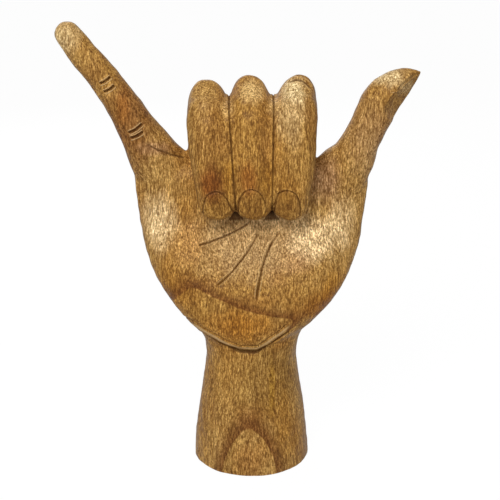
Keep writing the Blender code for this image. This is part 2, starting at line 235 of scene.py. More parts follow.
@dataclass
class WristAndPalm:
    """Wrist that flares to the foot, and the cupped palm whose heel overhangs it."""

    foot_width: float = 79.6
    foot_depth: float = 79.6
    neck_height: float = 77.0
    neck_width: float = 61.8
    neck_front: float = 27.0
    neck_back: float = 28.5
    knuckle_height: float = 198.0
    palm_width: float = 155.0
    palm_back: float = 27.0
    heel_front: float = 34.2
    hollow_front: float = 11.5
    crease_lean: float = 0.66
    crease_sweep: Pair = (0.25, 0.09)
    crease_lowest: Pair = (4.0, -8.0)
    crease_share: float = 0.235
    sweep_spread: float = 0.15
    knuckle_crown: float = 12.0
    thumb_mound: Mound = Mound(7.5, 0.56, 0.27, 0.57, 0.25)
    outer_mound: Mound = Mound(6.0, -0.60, 0.26, 0.58, 0.25)
    around: int = 180
    steps: int = 9

    def wrist_rows(self) -> list[tuple[float, ...]]:
        """Share of the neck's height, share of the way from foot to neck size, squareness."""
        return [(-0.10, 0.0, 2.0), (0.0, 0.0, 2.0), (0.22, 0.13, 2.0), (0.48, 0.41, 2.05),
                (0.74, 0.76, 2.1), (0.92, 0.97, 2.15)]

    def palm_rows(self) -> list[tuple[float, ...]]:
        """Rows of the palm from neck to knuckles.

        Each has the share of the rise, the share of the way from neck to palm width, from
        neck front to heel front and from heel front back to the hollow, the lean as a
        share of the crease's lean, and the squareness.
        """
        return [(0.0, 0.0, 0.0, 0.0, 0.36, 2.2), (0.07, 0.015, 0.0, 0.0, 0.58, 2.2),
                (0.15, 0.06, 0.0, 0.0, 0.85, 2.2), (self.crease_share, 0.17, 0.03, 0.0, 0.99, 2.25),
                (0.252, 0.21, 0.24, 0.0, 1.0, 2.25), (0.285, 0.295, 0.56, 0.0, 0.97, 2.3),
                (0.37, 0.505, 1.0, 0.0, 0.78, 2.35), (0.47, 0.705, 0.98, 0.08, 0.55, 2.4),
                (0.57, 0.826, 0.95, 0.40, 0.35, 2.45), (0.67, 0.892, 0.90, 0.74, 0.18, 2.5),
                (0.785, 0.934, 0.85, 0.94, 0.08, 2.5), (0.90, 0.968, 0.85, 0.99, 0.0, 2.5),
                (1.0, 0.985, 0.85, 0.98, 0.0, 2.45)]

    def crown_rows(self) -> list[tuple[float, ...]]:
        """Rows that close the crown: share of its rise, of the palm's width and of its depth."""
        return [(0.30, 0.965, 0.90), (0.62, 0.88, 0.74), (0.88, 0.74, 0.52), (1.0, 0.60, 0.30)]

    def crease_height(self) -> float:
        """Height at which the crease under the heel crosses the middle plane."""
        return blend(self.neck_height, self.knuckle_height, self.crease_share)

    def sweep_share(self, side: float) -> float:
        """Share of the sweep at a height: it dies away from the crease as a bell curve."""
        spread = self.sweep_spread * (self.knuckle_height - self.neck_height)
        return math.exp(-((side - self.crease_height()) / spread) ** 2)

    def rows(self) -> Array:
        """Side height, lean, half width, front, back and squareness from foot to crown."""
        made = []
        for rise, taper, square in self.wrist_rows():
            made.append((rise * self.neck_height, 0.0, blend(self.foot_width, self.neck_width, taper) / 2,
                         blend(self.foot_depth / 2, self.neck_front, taper),
                         blend(self.foot_depth / 2, self.neck_back, taper), square))
        for rise, spread, heel, hollow, lean, square in self.palm_rows():
            front = blend(blend(self.neck_front, self.heel_front, heel), self.hollow_front, hollow)
            made.append((blend(self.neck_height, self.knuckle_height, rise), lean * self.crease_lean,
                         blend(self.neck_width, self.palm_width, spread) / 2, front,
                         blend(self.neck_back, self.palm_back, min(1.0, 2 * rise)), square))
        side, lean, width, front, back, square = made[-1]
        for rise, wide, deep in self.crown_rows():
            made.append((side + rise * self.knuckle_crown, lean, width * wide, front * deep,
                         back * deep, square))
        return smooth_rows(made, self.steps)

    def forms(self) -> list[Form]:
        """Ovals stacked from the foot to the knuckles, each leaning by its own slope."""
        rings = []
        for side, lean, half_width, front, back, square in self.rows():
            x, y = oval(half_width, front, back, square, self.around)
            facing = np.clip(-y / front, 0, 1)
            sweep = swept(x, self.crease_sweep, self.crease_lowest)
            z = side + lean * y + self.sweep_share(side) * sweep * facing ** 2
            out = x / (self.palm_width / 2)
            up = (z - self.neck_height) / (self.knuckle_height - self.neck_height)
            y = y - facing * (self.thumb_mound.at(out, up) + self.outer_mound.at(out, up))
            rings.append(np.stack([x, y, z], axis=1))
        return [Form(np.array(rings))]


@dataclass
class HeldOutFinger:
    """Finger that leaves an upper corner of the palm: a limb whose width follows its rows."""

    sense: int
    body: WristAndPalm
    root_inset: float
    root_drop: float
    root_radius: float
    root_back: float
    reach: float
    rise: float
    tip_front: float
    rows: tuple[tuple[float, ...], ...]
    steps: int = 9

    def path(self) -> tuple[Array, Array]:
        """Points of the middle line, and the filled rows of reach, rise, radius and depth shares."""
        rows = smooth_rows(self.rows, self.steps)
        x = self.sense * (self.body.palm_width / 2 - self.root_inset + rows[:, 0] * self.reach)
        y = blend(self.root_back, -self.tip_front, rows[:, 1])
        z = self.body.knuckle_height - self.root_drop + rows[:, 1] * self.rise
        return np.stack([x, y, z], axis=1), rows

    def forms(self) -> list[Form]:
        """The limb, round in section and flatter at its root."""
        path, rows = self.path()
        wide = rows[:, 2] * self.root_radius
        return [limb(path, wide, wide * rows[:, 3], Section(), THROUGH)]


@dataclass(frozen=True)
class Turns:
    """Places where a curled finger, or a web between two, changes direction."""

    root: Array
    knuckle: Array
    joint: Array
    bend: Array
    halfway: Array
    tip: Array


@dataclass
class CurledFingers:
    """Ring, middle and index finger: up from the knuckles, over the joints, down to the palm.

    Neighbours touch. A web behind each line between two fingers fills the valley, so that
    only a shallow groove is left. Seen from the front, the fingers' tops are bells.
    """

    body: WristAndPalm
    width: float = 28.2
    narrowing: float = 0.5
    top_places: tuple[float, ...] = (-27.4, -0.7, 28.2)
    top_leans: tuple[float, ...] = (0.12, 0.09, -0.13)
    fall_section: Section = Section(2.0, 2.3)
    fold_section: Section = Section(2.0, 2.25, 1.9)
    rise_section: Section = Section(2.0, 2.2)
    fold_radius: float = 10.5
    tip_width: float = 24.6
    top_spacing: float = 29.4
    tip_spacing: float = 22.4
    top_shift: float = -0.7
    tip_shift: float = 1.8
    rise: float = 70.2
    ring_drop: float = 2.9
    tip_drop: float = 22.0
    tip_front: float = 36.6
    top_back: float = 7.0
    bow: float = 1.0
    knuckle_back: float = 28.6
    root_tuck: float = 2.0
    fold_forward: float = 0.72
    fold_down: float = 0.06
    core_radius: float = 10.5
    web_radius: float = 7.0
    web_top_radius: float = 4.5
    web_depth: float = 3.0
    web_drop: float = 13.8
    notch: float = 8.5
    steps: int = 16
    names: dict[str, int] = field(default_factory=lambda: {"ring_finger": -1, "middle_finger": 0,
                                                            "index_finger": 1})

    def radius(self) -> float:
        """Half the width of a finger."""
        return self.width / 2 - self.narrowing

    def tip_height(self) -> float:
        """Height of the fingertips' lower ends."""
        return self.body.knuckle_height - self.tip_drop

    def top_height(self, place: float) -> float:
        """Height of the tops, the ring finger's lower than the others'."""
        return self.body.knuckle_height + self.rise - self.ring_drop * (place == -1)

    def seam(self, place: float, z: Array) -> Array:
        """Place across the hand, at height z, of the line at that many finger widths from the middle.

        The lines draw together towards the tips in a straight line.
        """
        share = (z - self.tip_height()) / (self.rise + self.tip_drop)
        spacing = blend(self.tip_spacing, self.top_spacing, share)
        return place * spacing + blend(self.tip_shift, self.top_shift, share)

    def seam_gap(self, x: Array, z: Array) -> Array:
        """Distance across the hand to the nearer of the two lines between the fingers."""
        return np.minimum(np.abs(x - self.seam(-0.5, z)), np.abs(x - self.seam(0.5, z)))

    def turns(self, place: float) -> Turns:
        """Middle line of a finger at that many finger widths from the middle of the hand."""
        radius, tip_radius = self.radius(), self.tip_width / 2
        top_x = float(np.interp(place, (-1, 0, 1), self.top_places))
        top_z = self.top_height(place) - radius * self.fold_section.crown_height
        tip_z = self.tip_height() + tip_radius
        tip = np.array([self.seam(place, tip_z), tip_radius - self.tip_front, tip_z])
        joint = np.array([top_x, -self.top_back, top_z])
        bend = np.array([top_x, blend(-self.top_back, tip[1], self.fold_forward),
                         blend(top_z, tip[2], self.fold_down)])
        knuckle = np.array([place * self.width, self.knuckle_back - radius, self.body.knuckle_height])
        root = knuckle - (0.0, self.root_tuck, radius)
        halfway = (bend + tip) / 2 + (place * self.bow, -self.bow, 0.0)
        return Turns(root, knuckle, joint, bend, halfway, tip)

    def core(self, place: float) -> Form:
        """Filling between the limb that rises and the one that falls."""
        turns = self.turns(place)
        low = np.array([turns.halfway[0], -self.top_back, self.body.knuckle_height])
        high = (turns.joint + turns.halfway) / 2
        return self.limb((low, high), self.core_radius, self.core_radius, Section())

    def limb(self, points: tuple[Array, ...], start: float, end: float, section: Section,
             deep: float = 0.0) -> Form:
        """Limb through a few points, from one radius to another, or of a half depth of its own."""
        path = smooth_rows(points, self.steps)
        wide = np.linspace(start, end, len(path))
        return limb(path, wide, np.full(len(path), deep) if deep else wide, section, ACROSS)

    def finger(self, order: int) -> list[Form]:
        """Limbs of one finger: the rise, the fold over the joint, the fall, and its filled core."""
        radius = self.radius()
        turns = self.turns(order)
        fold_section = replace(self.fold_section, crown_lean=self.top_leans[order + 1])
        return [self.limb((turns.root, turns.knuckle, (turns.knuckle + turns.joint) / 2, turns.joint),
                          radius, radius, self.rise_section),
                self.limb((turns.joint, turns.bend), radius, self.fold_radius, fold_section, radius),
                self.limb((turns.bend, turns.halfway, turns.tip), radius, self.tip_width / 2,
                          self.fall_section),
                self.core(order)]

    def web(self, place: float) -> list[Form]:
        """Filling behind the line between two fingers: it lies behind the fingers and under their tops."""
        turns = self.turns(place)
        out = self.radius() - self.web_depth - self.web_radius
        forward, back = np.array([0.0, -out, 0.0]), np.array([0.0, out, 0.0])
        top_z = self.top_height(place) - self.web_drop - self.web_top_radius
        joint = np.array([turns.joint[0], turns.joint[1], top_z])
        bend = np.array([turns.bend[0], turns.bend[1] - out, top_z - self.web_top_radius])
        low = np.array([0.0, 0.0, -self.web_radius])
        tip_z = self.tip_height() + self.notch + self.web_radius
        tip = np.array([self.seam(place, tip_z), turns.tip[1] + self.web_depth + self.web_radius
                        - self.tip_width / 2, tip_z])
        halfway = turns.halfway + forward
        routes = ((turns.root + back, turns.knuckle + back, joint + low), (bend + low, halfway, tip))
        made = [self.limb(points, self.web_radius, self.web_radius, Section()) for points in routes]
        top = [self.limb(points, self.web_top_radius, self.web_top_radius, Section())
               for points in ((joint + 2 * low, joint), (joint, bend), (bend, bend + low))]
        return made + top + [self.core(place)]

    def forms(self) -> list[Form]:
        """Limbs of the three fingers, and the webs between them."""
        made = [form for order in self.names.values() for form in self.finger(order)]
        return made + self.web(-0.5) + self.web(0.5)


class Skin:
    """Triangle skin of the block, as arrays in millimetres."""

    def __init__(self, points: Array, triangles: Array) -> None:
        """Keep the arrays."""
        self.points = points
        self.triangles = triangles

    @classmethod
    def blended(cls, forms: list[Form], voxel: float) -> "Skin":
        """Blend closed forms into one skin with a voxel remesh.

        Args:
            forms: closed forms that overlap.
            voxel: edge of a voxel.

        Returns:
            The skin, in triangles.
        """
        offsets = np.cumsum([0] + [len(form.points()) for form in forms[:-1]])
        points = np.vstack([form.points() for form in forms]) * MM
        triangles = np.vstack([form.triangles() + offset for form, offset in zip(forms, offsets)])
        block = placed("forms", mesh_from_arrays("forms", points, triangles))
        remesh = block.modifiers.new("one_skin", "REMESH")
        remesh.mode = "VOXEL"
        remesh.voxel_size = voxel * MM
        mesh = finished_mesh(block)
        bpy.data.objects.remove(block, do_unlink=True)
        mesh.calc_loop_triangles()
        corners = np.empty(len(mesh.loop_triangles) * 3, np.int32)
        mesh.loop_triangles.foreach_get("vertices", corners)
        places = np.empty(len(mesh.vertices) * 3, np.float32)
        mesh.vertices.foreach_get("co", places)
        bpy.data.meshes.remove(mesh)
        return cls(places.reshape(-1, 3).astype(float) / MM, corners.reshape(-1, 3).astype(np.int64))

    def edges(self) -> tuple[Array, Array]:
        """Edges as pairs of points, and for each triangle the numbers of its three edges."""
        count = len(self.points)
        pairs = np.sort(self.triangles[:, [[0, 1], [1, 2], [2, 0]]], axis=2)
        keys, number = np.unique(pairs[:, :, 0] * count + pairs[:, :, 1], return_inverse=True)
        return np.stack([keys // count, keys % count], axis=1), number.reshape(-1, 3)

    def refine(self, near: Array) -> Array:
        """Split every edge of the triangles that touch the marked points, at its middle.

        A triangle with three split edges becomes four, one with two becomes three, and one
        with one becomes two, so that the skin stays closed.

        Args:
            near: marks of the points.

        Returns:
            Marks of all points, the new ones marked too.
        """
        edges, number = self.edges()
        split = np.zeros(len(edges), bool)
        split[number[near[self.triangles].any(axis=1)].ravel()] = True
        middle = np.full(len(edges), -1)
        middle[split] = len(self.points) + np.arange(split.sum())
        self.points = np.vstack([self.points, self.points[edges[split]].mean(axis=1)])
        halves = middle[number]
        count = (halves >= 0).sum(axis=1)
        made = [self.triangles[count == 0]]
        a, b, c = self.triangles[count == 3].T
        ab, bc, ca = halves[count == 3].T
        made += [np.stack(t, axis=1) for t in ((a, ab, ca), (ab, b, bc), (ca, bc, c), (ab, bc, ca))]
        for turn in range(3):
            corners = np.roll(self.triangles, -turn, axis=1)
            mids = np.roll(halves, -turn, axis=1)
            one = (count == 1) & (mids[:, 0] >= 0)
            a, b, c = corners[one].T
            ab = mids[one, 0]
            made += [np.stack(t, axis=1) for t in ((a, ab, c), (ab, b, c))]
            two = (count == 2) & (mids[:, 2] < 0)
            a, b, c = corners[two].T
            ab, bc = mids[two, 0], mids[two, 1]
            made += [np.stack(t, axis=1) for t in ((ab, b, bc), (a, ab, bc), (a, bc, c))]
        self.triangles = np.vstack(made)
        return np.concatenate([near, np.ones(split.sum(), bool)])

    def relax(self, rounds: int, weight: Array, shrink_back: float = 0.0) -> None:
        """Move each point towards the mean of its neighbours, by half its weight, each round.

        Args:
            rounds: how many rounds.
            weight: share of the full move at each point.
            shrink_back: share of the move that a second step takes back, against shrinking.
        """
        edges, _ = self.edges()
        count = len(self.points)
        ends = np.concatenate([edges[:, 0], edges[:, 1]])
        others = np.concatenate([edges[:, 1], edges[:, 0]])
        degree = np.bincount(ends, minlength=count)
        for _ in range(rounds):
            for step in (0.5, -0.5 * shrink_back):
                if step == 0.0:
                    continue
                mean = np.stack([np.bincount(ends, self.points[others, axis], minlength=count)
                                 for axis in range(3)], axis=1) / degree[:, None]
                self.points = self.points + step * weight[:, None] * (mean - self.points)

    def normals(self) -> Array:
        """Unit normals of the points: sums of the triangles' cross products."""
        a, b, c = (self.points[self.triangles[:, i]] for i in range(3))
        cross = np.cross(b - a, c - a)
        total = np.stack([sum(np.bincount(self.triangles[:, i], cross[:, axis], minlength=len(self.points))
                              for i in range(3)) for axis in range(3)], axis=1)
        return total / np.maximum(np.linalg.norm(total, axis=1), 1e-12)[:, None]


def mesh_from_arrays(name: str, points: Array, faces: Array) -> bpy.types.Mesh:
    """Make a mesh of faces that all have the same number of corners.

    Args:
        name: name of the mesh.
        points: places of the vertices, in metres.
        faces: vertex numbers, one row for each face.

    Returns:
        The mesh, shaded smooth.
    """
    mesh = bpy.data.meshes.new(name)
    count, corners = faces.shape
    mesh.vertices.add(len(points))
    mesh.vertices.foreach_set("co", points.astype(np.float32).ravel())
    mesh.loops.add(count * corners)
    mesh.loops.foreach_set("vertex_index", faces.astype(np.int32).ravel())
    mesh.polygons.add(count)
    mesh.polygons.foreach_set("loop_start", np.arange(count, dtype=np.int32) * corners)
    mesh.update(calc_edges=True)
    mesh.validate()
    mesh.shade_smooth()
    return mesh


def placed(name: str, data: bpy.types.ID) -> bpy.types.Object:
    """Object of the given data, linked to the scene."""
    made = bpy.data.objects.new(name, data)
    bpy.context.scene.collection.objects.link(made)
    return made


def finished_mesh(piece: bpy.types.Object) -> bpy.types.Mesh:
    """Mesh of an object as its modifiers leave it."""
    bpy.context.view_layer.update()
    graph = bpy.context.evaluated_depsgraph_get()
    return bpy.data.meshes.new_from_object(piece.evaluated_get(graph), preserve_all_data_layers=True,
                                           depsgraph=graph)


class Side(Enum):
    """Side of the hand that a stroke is cut on: axes of its drawing, and the way it faces."""

    PALM = ((0, 2), (0.0, -1.0, 0.0))
    BACK = ((0, 2), (0.0, 1.0, 0.0))
    LITTLE = ((1, 2), (-1.0, 0.0, 0.0))
    THUMB = ((1, 2), (1.0, 0.0, 0.0))

    def axes(self) -> list[int]:
        """Axes that the stroke's points are given in."""
        return list(self.value[0])

    def facing(self) -> Array:
        """Direction that the side faces."""
        return np.array(self.value[1])


@dataclass(frozen=True)
class Stroke:
    """Cut of a V tool along a smooth curve through a few points.

    Its depth falls in a straight line from the middle to the half width, and the tool
    raises a low lip beyond that on each side, one half width across. Depth and width grow
    from the ends of the curve over the given shares of its length, the width from a share
    of its own. Only points within a limit across the hand are cut.
    """

    points: tuple[Pair, ...]
    half_width: float
    depth: float
    side: Side = Side.PALM
    fade_in: float = 0.25
    fade_out: float = 0.25
    limit: float = 200.0
    lip: float = 0.18
    lip_middle: float = 1.5
    lip_half_width: float = 0.5
    end_width: float = 0.45
    end_slack: float = 0.02

    def curve(self) -> Array:
        """Points of the curve, with more between the given ones."""
        return smooth_rows(self.points, CURVE_STEPS)

    def near(self, skin: Skin, normals: Array, margin: float) -> tuple[Array, Array, Array]:
        """Find the points of the skin near the curve.

        Args:
            skin: the skin.
            normals: its normals.
            margin: how far from the curve a point may be.

        Returns:
            Numbers of the points, their distance from the curve, and the share of its
            length at the nearest place.
        """
        curve = self.curve()
        flat = skin.points[:, self.side.axes()]
        low, high = curve.min(axis=0) - margin, curve.max(axis=0) + margin
        inside = ((flat > low) & (flat < high)).all(axis=1)
        inside &= normals @ self.side.facing() > LEAST_FACING
        inside &= np.abs(skin.points[:, 0]) < self.limit
        found = np.flatnonzero(inside)
        start, step = curve[:-1], np.diff(curve, axis=0)
        length = np.linalg.norm(step, axis=1)
        offset = flat[found][:, None, :] - start[None]
        t = np.clip((offset * step).sum(axis=2) / (length ** 2), 0.0, 1.0)
        gap = np.linalg.norm(offset - t[:, :, None] * step, axis=2)
        best = gap.argmin(axis=1)
        rows = np.arange(len(found))
        run = np.concatenate([[0.0], np.cumsum(length)])
        share = (run[best] + t[rows, best] * length[best]) / run[-1]
        return found, gap[rows, best], share

    def profile(self, gap: Array) -> Array:
        """Depth at distances from the middle line, in half widths: a V with lips, below zero."""
        raised = self.lip * self.depth * tent((gap - self.lip_middle) / self.lip_half_width)
        return self.depth * tent(gap) - raised

    def cut(self, skin: Skin, normals: Array) -> tuple[Array, Array]:
        """Numbers of the points that the stroke reaches, and how deep it cuts each."""
        found, gap, share = self.near(skin, normals, 2.0 * self.half_width)
        swell = np.minimum(soft_step(share, -self.end_slack, self.fade_in),
                           1.0 - soft_step(share, 1.0 - self.fade_out, 1.0 + self.end_slack))
        width = self.half_width * blend(self.end_width, 1.0, swell)
        return found, swell * self.profile(gap / width)


@dataclass(frozen=True)
class Ridge(Stroke):
    """Soft raised ridge along a curve, such as a tendon: its depth is below zero."""

    def profile(self, gap: Array) -> Array:
        """A bell with a round crest, one half width to each side."""
        return self.depth * soft_step(1.0 - gap, 0.0, 1.0)


def inside_outline(points: Array, marks: Array, ring: Array) -> Array:
    """Numbers of the marked points that lie inside a closed outline, seen from the front.

    A point is inside where a ray to the right crosses the outline an odd number of times.

    Args:
        points: the points.
        marks: marks of the ones to look at.
        ring: corners of the outline, as places across and up.

    Returns:
        The numbers.
    """
    low, high = ring.min(axis=0), ring.max(axis=0)
    flat = points[:, [0, 2]]
    found = np.flatnonzero(marks & ((flat > low) & (flat < high)).all(axis=1))
    px, pz = flat[found, :1], flat[found, 1:]
    a, b = ring, np.roll(ring, -1, axis=0)
    spans = (a[:, 1] > pz) != (b[:, 1] > pz)
    rise = np.where(b[:, 1] == a[:, 1], 1e-9, b[:, 1] - a[:, 1])
    crossing = a[:, 0] + (pz - a[:, 1]) * (b[:, 0] - a[:, 0]) / rise
    return found[(spans & (px < crossing)).sum(axis=1) % 2 == 1]


@dataclass(frozen=True)
class GapShadow:
    """Painted shadow in the gap under the place where two fingertips meet, seen from a little above.

    Its outline holds in the plane of the fingertips' middles, and sinks behind it by a slope.
    """

    apex: Pair
    half_width: float
    height: float
    plane: float = -24.4
    slope: float = 0.32
    behind: float = -8.0
    shade: float = 3.2

    def outline(self) -> Array:
        """Corners of a wedge that widens downwards."""
        x, z = self.apex
        corners = ((0.0, 0.0), (0.45, -0.5), (1.0, -1.0), (-1.0, -1.0), (-0.45, -0.5))
        return np.array([(x + across * self.half_width, z + up * self.height) for across, up in corners])

    def darken(self, skin: Skin) -> tuple[Array, Array]:
        """Points behind the fingertips' middles that show in the gap, and how much painted shadow each gets.

        They are darkest under the apex, and the shade ends at the bottom.
        """
        y = skin.points[:, 1]
        level = skin.points + np.outer(y - self.plane, (0.0, 0.0, self.slope))
        found = inside_outline(level, (y > self.plane) & (y < self.behind), self.outline())
        down = (self.apex[1] - level[found, 2]) / self.height
        return found, self.shade * (1.0 - down)


@dataclass(frozen=True)
class Nail:
    """Nail of a curled finger: an arc cut round a flat that slopes back towards the tip."""

    arc: tuple[Pair, ...]
    front: float
    step_in: float = 0.7
    slope: float = 0.15
    lowest: float = 174.0
    reach: float = 14.0

    def outline(self) -> Array:
        """Closed outline: the arc's curve, shut below the fingertip."""
        curve = smooth_rows(self.arc, CURVE_STEPS)
        return np.vstack([curve, [(curve[-1, 0], self.lowest), (curve[0, 0], self.lowest)]])

    def flatten(self, skin: Skin, normals: Array) -> None:
        """Push what stands in front of the nail's plane back to it, inside the arc.

        The plane starts a small step behind the fingertip's front at the top of the arc
        and goes back by the slope on the way down.
        """
        ring = self.outline()
        top = ring[:, 1].max()
        _, y, z = skin.points.T
        near = (z > self.lowest) & (normals[:, 1] < -LEAST_FACING) & (y < -self.front + self.reach)
        found = inside_outline(skin.points, near, ring)
        plane = -self.front + self.step_in + self.slope * (top - z[found])
        skin.points[found, 1] = np.maximum(y[found], plane)


@dataclass(frozen=True)
class Facet:
    """Flat left by a chisel: what stands past a plane goes back to it, within a reach."""

    point: Triple
    normal: Triple
    reach: float
    strength: float = 0.9
    full_share: float = 0.75

    def flatten(self, skin: Skin) -> Array:
        """Press the skin onto the plane, less and less towards the edge of the reach.

        Args:
            skin: the skin, which is changed.

        Returns:
            The share of the full move at each point, 0 off the flat.
        """
        normal = np.array(self.normal) / np.linalg.norm(self.normal)
        offset = skin.points - np.array(self.point)
        proud = offset @ normal
        gap = np.linalg.norm(offset - proud[:, None] * normal, axis=1)
        share = self.strength * (1.0 - soft_step(gap, self.full_share * self.reach, self.reach))
        share *= (proud > 0) & (proud < self.reach)
        skin.points = skin.points - (share * proud)[:, None] * normal
        return share


@dataclass
class Carving:
    """Everything that is cut into the blended block, and how fine the skin is made for it.

    Lengths are in millimetres, and fades are places through or across the hand. The rim's
    middle is a share of its height, the grooves' foot of the fingertips' notch, and the
    knuckles' spacing and the folds' limit are shares of a finger's width.
    """

    body: WristAndPalm
    fingers: CurledFingers
    groove_half_width: float = 0.8
    groove_depth: float = 1.25
    groove_foot: float = 0.8
    groove_start: float = 2.0
    crease_half_width: float = 1.7
    crease_depth: float = 1.5
    crease_drop: float = 2.0
    crease_rise: Pair = (0.88, 0.45)
    crease_lowest: Pair = (3.8, -8.0)
    crease_fade_back: Pair = (-8.0, 6.0)
    crease_fade_right: Pair = (20.0, 29.0)
    crease_fade_left: Pair = (48.0, 60.0)
    rim_height: float = 7.0
    rim_middle: float = 0.6
    rim_half_width: float = 2.4
    rim_line: float = 0.9
    rim_depth: float = 0.55
    # The rim's swell also takes the painted highlight of a lip; flat_shade is the painted shade of the
    # thumb's flat.
    rim_swell: float = 0.34
    flat_shade: float = 0.32
    facet_rounds: int = 2
    facet_softness: float = 0.5
    waviness: float = 0.16
    wave_lengths: tuple[float, ...] = (31.0, 23.0, 17.0, 13.0, 9.5)
    wave_turn: float = 2.4
    wave_fall: float = 0.6
    knuckle_spacing: float = 0.92
    knuckle_fall: float = 6.0
    knuckle_length: float = 5.0
    tendon_spacing: float = 7.0
    tendon_shift: float = 3.0
    tendon_start: float = 8.0
    tendon_bend: Pair = (0.45, 0.5)
    fold_limit: float = 1.6
    tip_gap: float = 0.4
    gap_size: Pair = (6.4, 9.4)
    margins: tuple[float, ...] = (1.5, 0.7)
    fine_crease: float = 1.2
    fine_back: float = 6.0
    fine_middle: float = -10.0
    fine_reach: float = 50.0
    fine_rounds: int = 3
    thumb_nail: Facet = Facet((95.9, -9.4, 257.8), (0.64, -0.67, -0.376), 22.0)

    def palm_lines(self) -> list[Stroke]:
        """Three lines of the palm, fading at both ends."""
        return [Stroke(((-34.5, 157.4), (-27.0, 159.2), (-18.0, 162.2), (-10.2, 165.9), (-4.5, 169.0),
                        (1.0, 174.0)), 0.9, 0.9, fade_in=0.03, fade_out=0.2, lip=0.3),
                Stroke(((-24.5, 131.5), (-20.1, 134.6), (-14.1, 139.7), (-8.8, 145.3), (-4.0, 151.1),
                        (1.0, 158.0), (6.3, 168.4)), 0.9, 0.85, fade_in=0.12, fade_out=0.25, lip=0.35),
                Stroke(((3.2, 121.0), (3.8, 128.5), (5.5, 137.2), (8.0, 146.6), (12.4, 156.8), (16.0, 162.2),
                        (23.0, 170.5)), 1.0, 0.95, fade_in=0.12, fade_out=0.35, lip=0.35)]

    def little_finger_creases(self) -> list[Stroke]:
        """Two pairs of short cuts across the little finger's joints."""
        ends = (((-96.4, 261.4), (-92.6, 263.0), (-88.4, 266.1)),
                ((-94.0, 256.0), (-90.2, 257.7), (-86.3, 260.6)),
                ((-79.3, 229.8), (-74.4, 232.1), (-69.3, 236.0)),
                ((-78.1, 226.4), (-73.4, 228.2), (-68.8, 231.0)))
        return [Stroke(points, 0.95, 1.3, fade_in=0.1, fade_out=0.12, lip=0.4) for points in ends]

    def little_nail(self) -> Stroke:
        """Nail on the back of the little finger: a U that opens towards the tip."""
        middle, along, across = np.array([-112.5, 284.0]), np.array([-0.64, 0.77]), np.array([0.77, 0.64])
        wide, long = 6.2, 9.0
        turn = np.radians(np.linspace(-15.0, 195.0, 9))
        outline = middle + np.cos(turn)[:, None] * wide * across - np.sin(turn)[:, None] * long * along
        return Stroke(tuple(map(tuple, outline)), 0.8, 0.8, Side.BACK, fade_in=0.05, fade_out=0.05)

    def ridges(self) -> list[Ridge]:
        """Tendons on the back of the hand, from the knuckles towards the wrist, and the knuckles."""
        made = []
        for order in (-2, -1, 0, 1):
            knuckle = (order * self.fingers.width * self.knuckle_spacing,
                       self.body.knuckle_height - self.knuckle_fall * abs(order))
            wrist = (order * self.tendon_spacing + self.tendon_shift,
                     self.body.crease_height() + self.tendon_start)
            halfway = tuple(blend(*ends) for ends in zip(knuckle, wrist, self.tendon_bend))
            top = (knuckle[0], knuckle[1] + self.knuckle_length)
            made.append(Ridge((wrist, halfway, knuckle), 6.0, -0.9, Side.BACK, fade_in=0.5, fade_out=0.1))
            made.append(Ridge((knuckle, top), 10.0, -1.1, Side.BACK, fade_in=0.01, fade_out=0.01))
        return made

    def nails(self) -> list[Nail]:
        """Nails of the ring, middle and index finger."""
        front = self.fingers.tip_front
        return [Nail(((-31.4, 178.0), (-31.2, 184.0), (-30.3, 190.3), (-27.6, 195.3), (-21.7, 197.6),
                      (-16.7, 194.5), (-13.0, 187.0), (-11.0, 181.5)), front),
                Nail(((-7.6, 178.0), (-8.6, 184.0), (-8.2, 190.3), (-5.2, 196.6), (0.3, 198.9),
                      (5.6, 195.8), (8.8, 189.0), (9.4, 182.0)), front),
                Nail(((14.4, 178.0), (14.2, 183.0), (15.0, 189.6), (17.0, 196.0), (22.2, 198.3),
                      (27.6, 195.8), (30.6, 189.0), (31.0, 180.0)), front)]

    def nail_cuts(self) -> list[Stroke]:
        """Cuts along the nails' arcs."""
        return [Stroke(nail.arc, 0.75, 0.8, fade_in=0.05, fade_out=0.05) for nail in self.nails()]

    def fold_lines(self) -> list[Stroke]:
        """Line between the two limbs of the ring and the index finger, seen from the side."""
        line = ((-12.0, 206.0), (-10.5, 218.0), (-10.5, 230.0), (-11.5, 239.0))
        limit = self.fingers.width * self.fold_limit
        return [Stroke(line, 0.9, 1.0, side, fade_in=0.05, fade_out=0.4, limit=limit)
                for side in (Side.LITTLE, Side.THUMB)]

    def index_edge(self) -> list[Stroke]:
        """Edge beside the index fingertip, and the edge of the flat on its top."""
        return [Stroke(((34.6, 196.0), (34.9, 190.0), (33.9, 184.0), (31.8, 179.5)), 0.7, 0.6, fade_in=0.3),
                Stroke(((22.1, 262.0), (25.1, 264.2), (29.1, 265.1), (33.4, 263.8), (36.8, 260.6),
                        (38.2, 257.8)), 0.95, 0.75, lip=0.4)]

    def tip_outlines(self) -> list[Stroke]:
        """Undercut below each fingertip, round its lower end, where it meets the palm."""
        turn = np.radians(np.linspace(225.0, 315.0, 8))
        made = []
        for order in self.fingers.names.values():
            tip = self.fingers.turns(order).tip
            reach = self.fingers.tip_width / 2 + self.tip_gap
            outline = tip[[0, 2]] + reach * np.stack([np.cos(turn), np.sin(turn)], axis=1)
            made.append(Stroke(tuple(map(tuple, outline)), 0.9, 0.7, fade_in=0.2, fade_out=0.2, lip=0.0))
        return made

    def gaps(self) -> list[GapShadow]:
        """Painted shadows in the gaps under the two places where the fingertips meet."""
        height = self.fingers.tip_height() + self.fingers.notch
        return [GapShadow((float(self.fingers.seam(place, height)), height), *self.gap_size)
                for place in (-0.5, 0.5)]

    def nail_ridge(self) -> Ridge:
        """Upper edge of the flat on the thumb, from its tip: a low ridge that gets a painted highlight."""
        return Ridge(((106.0, 267.0), (98.6, 262.8), (92.8, 257.9), (84.2, 256.0)), 0.9, -0.55, fade_in=0.1,
                     fade_out=0.4)

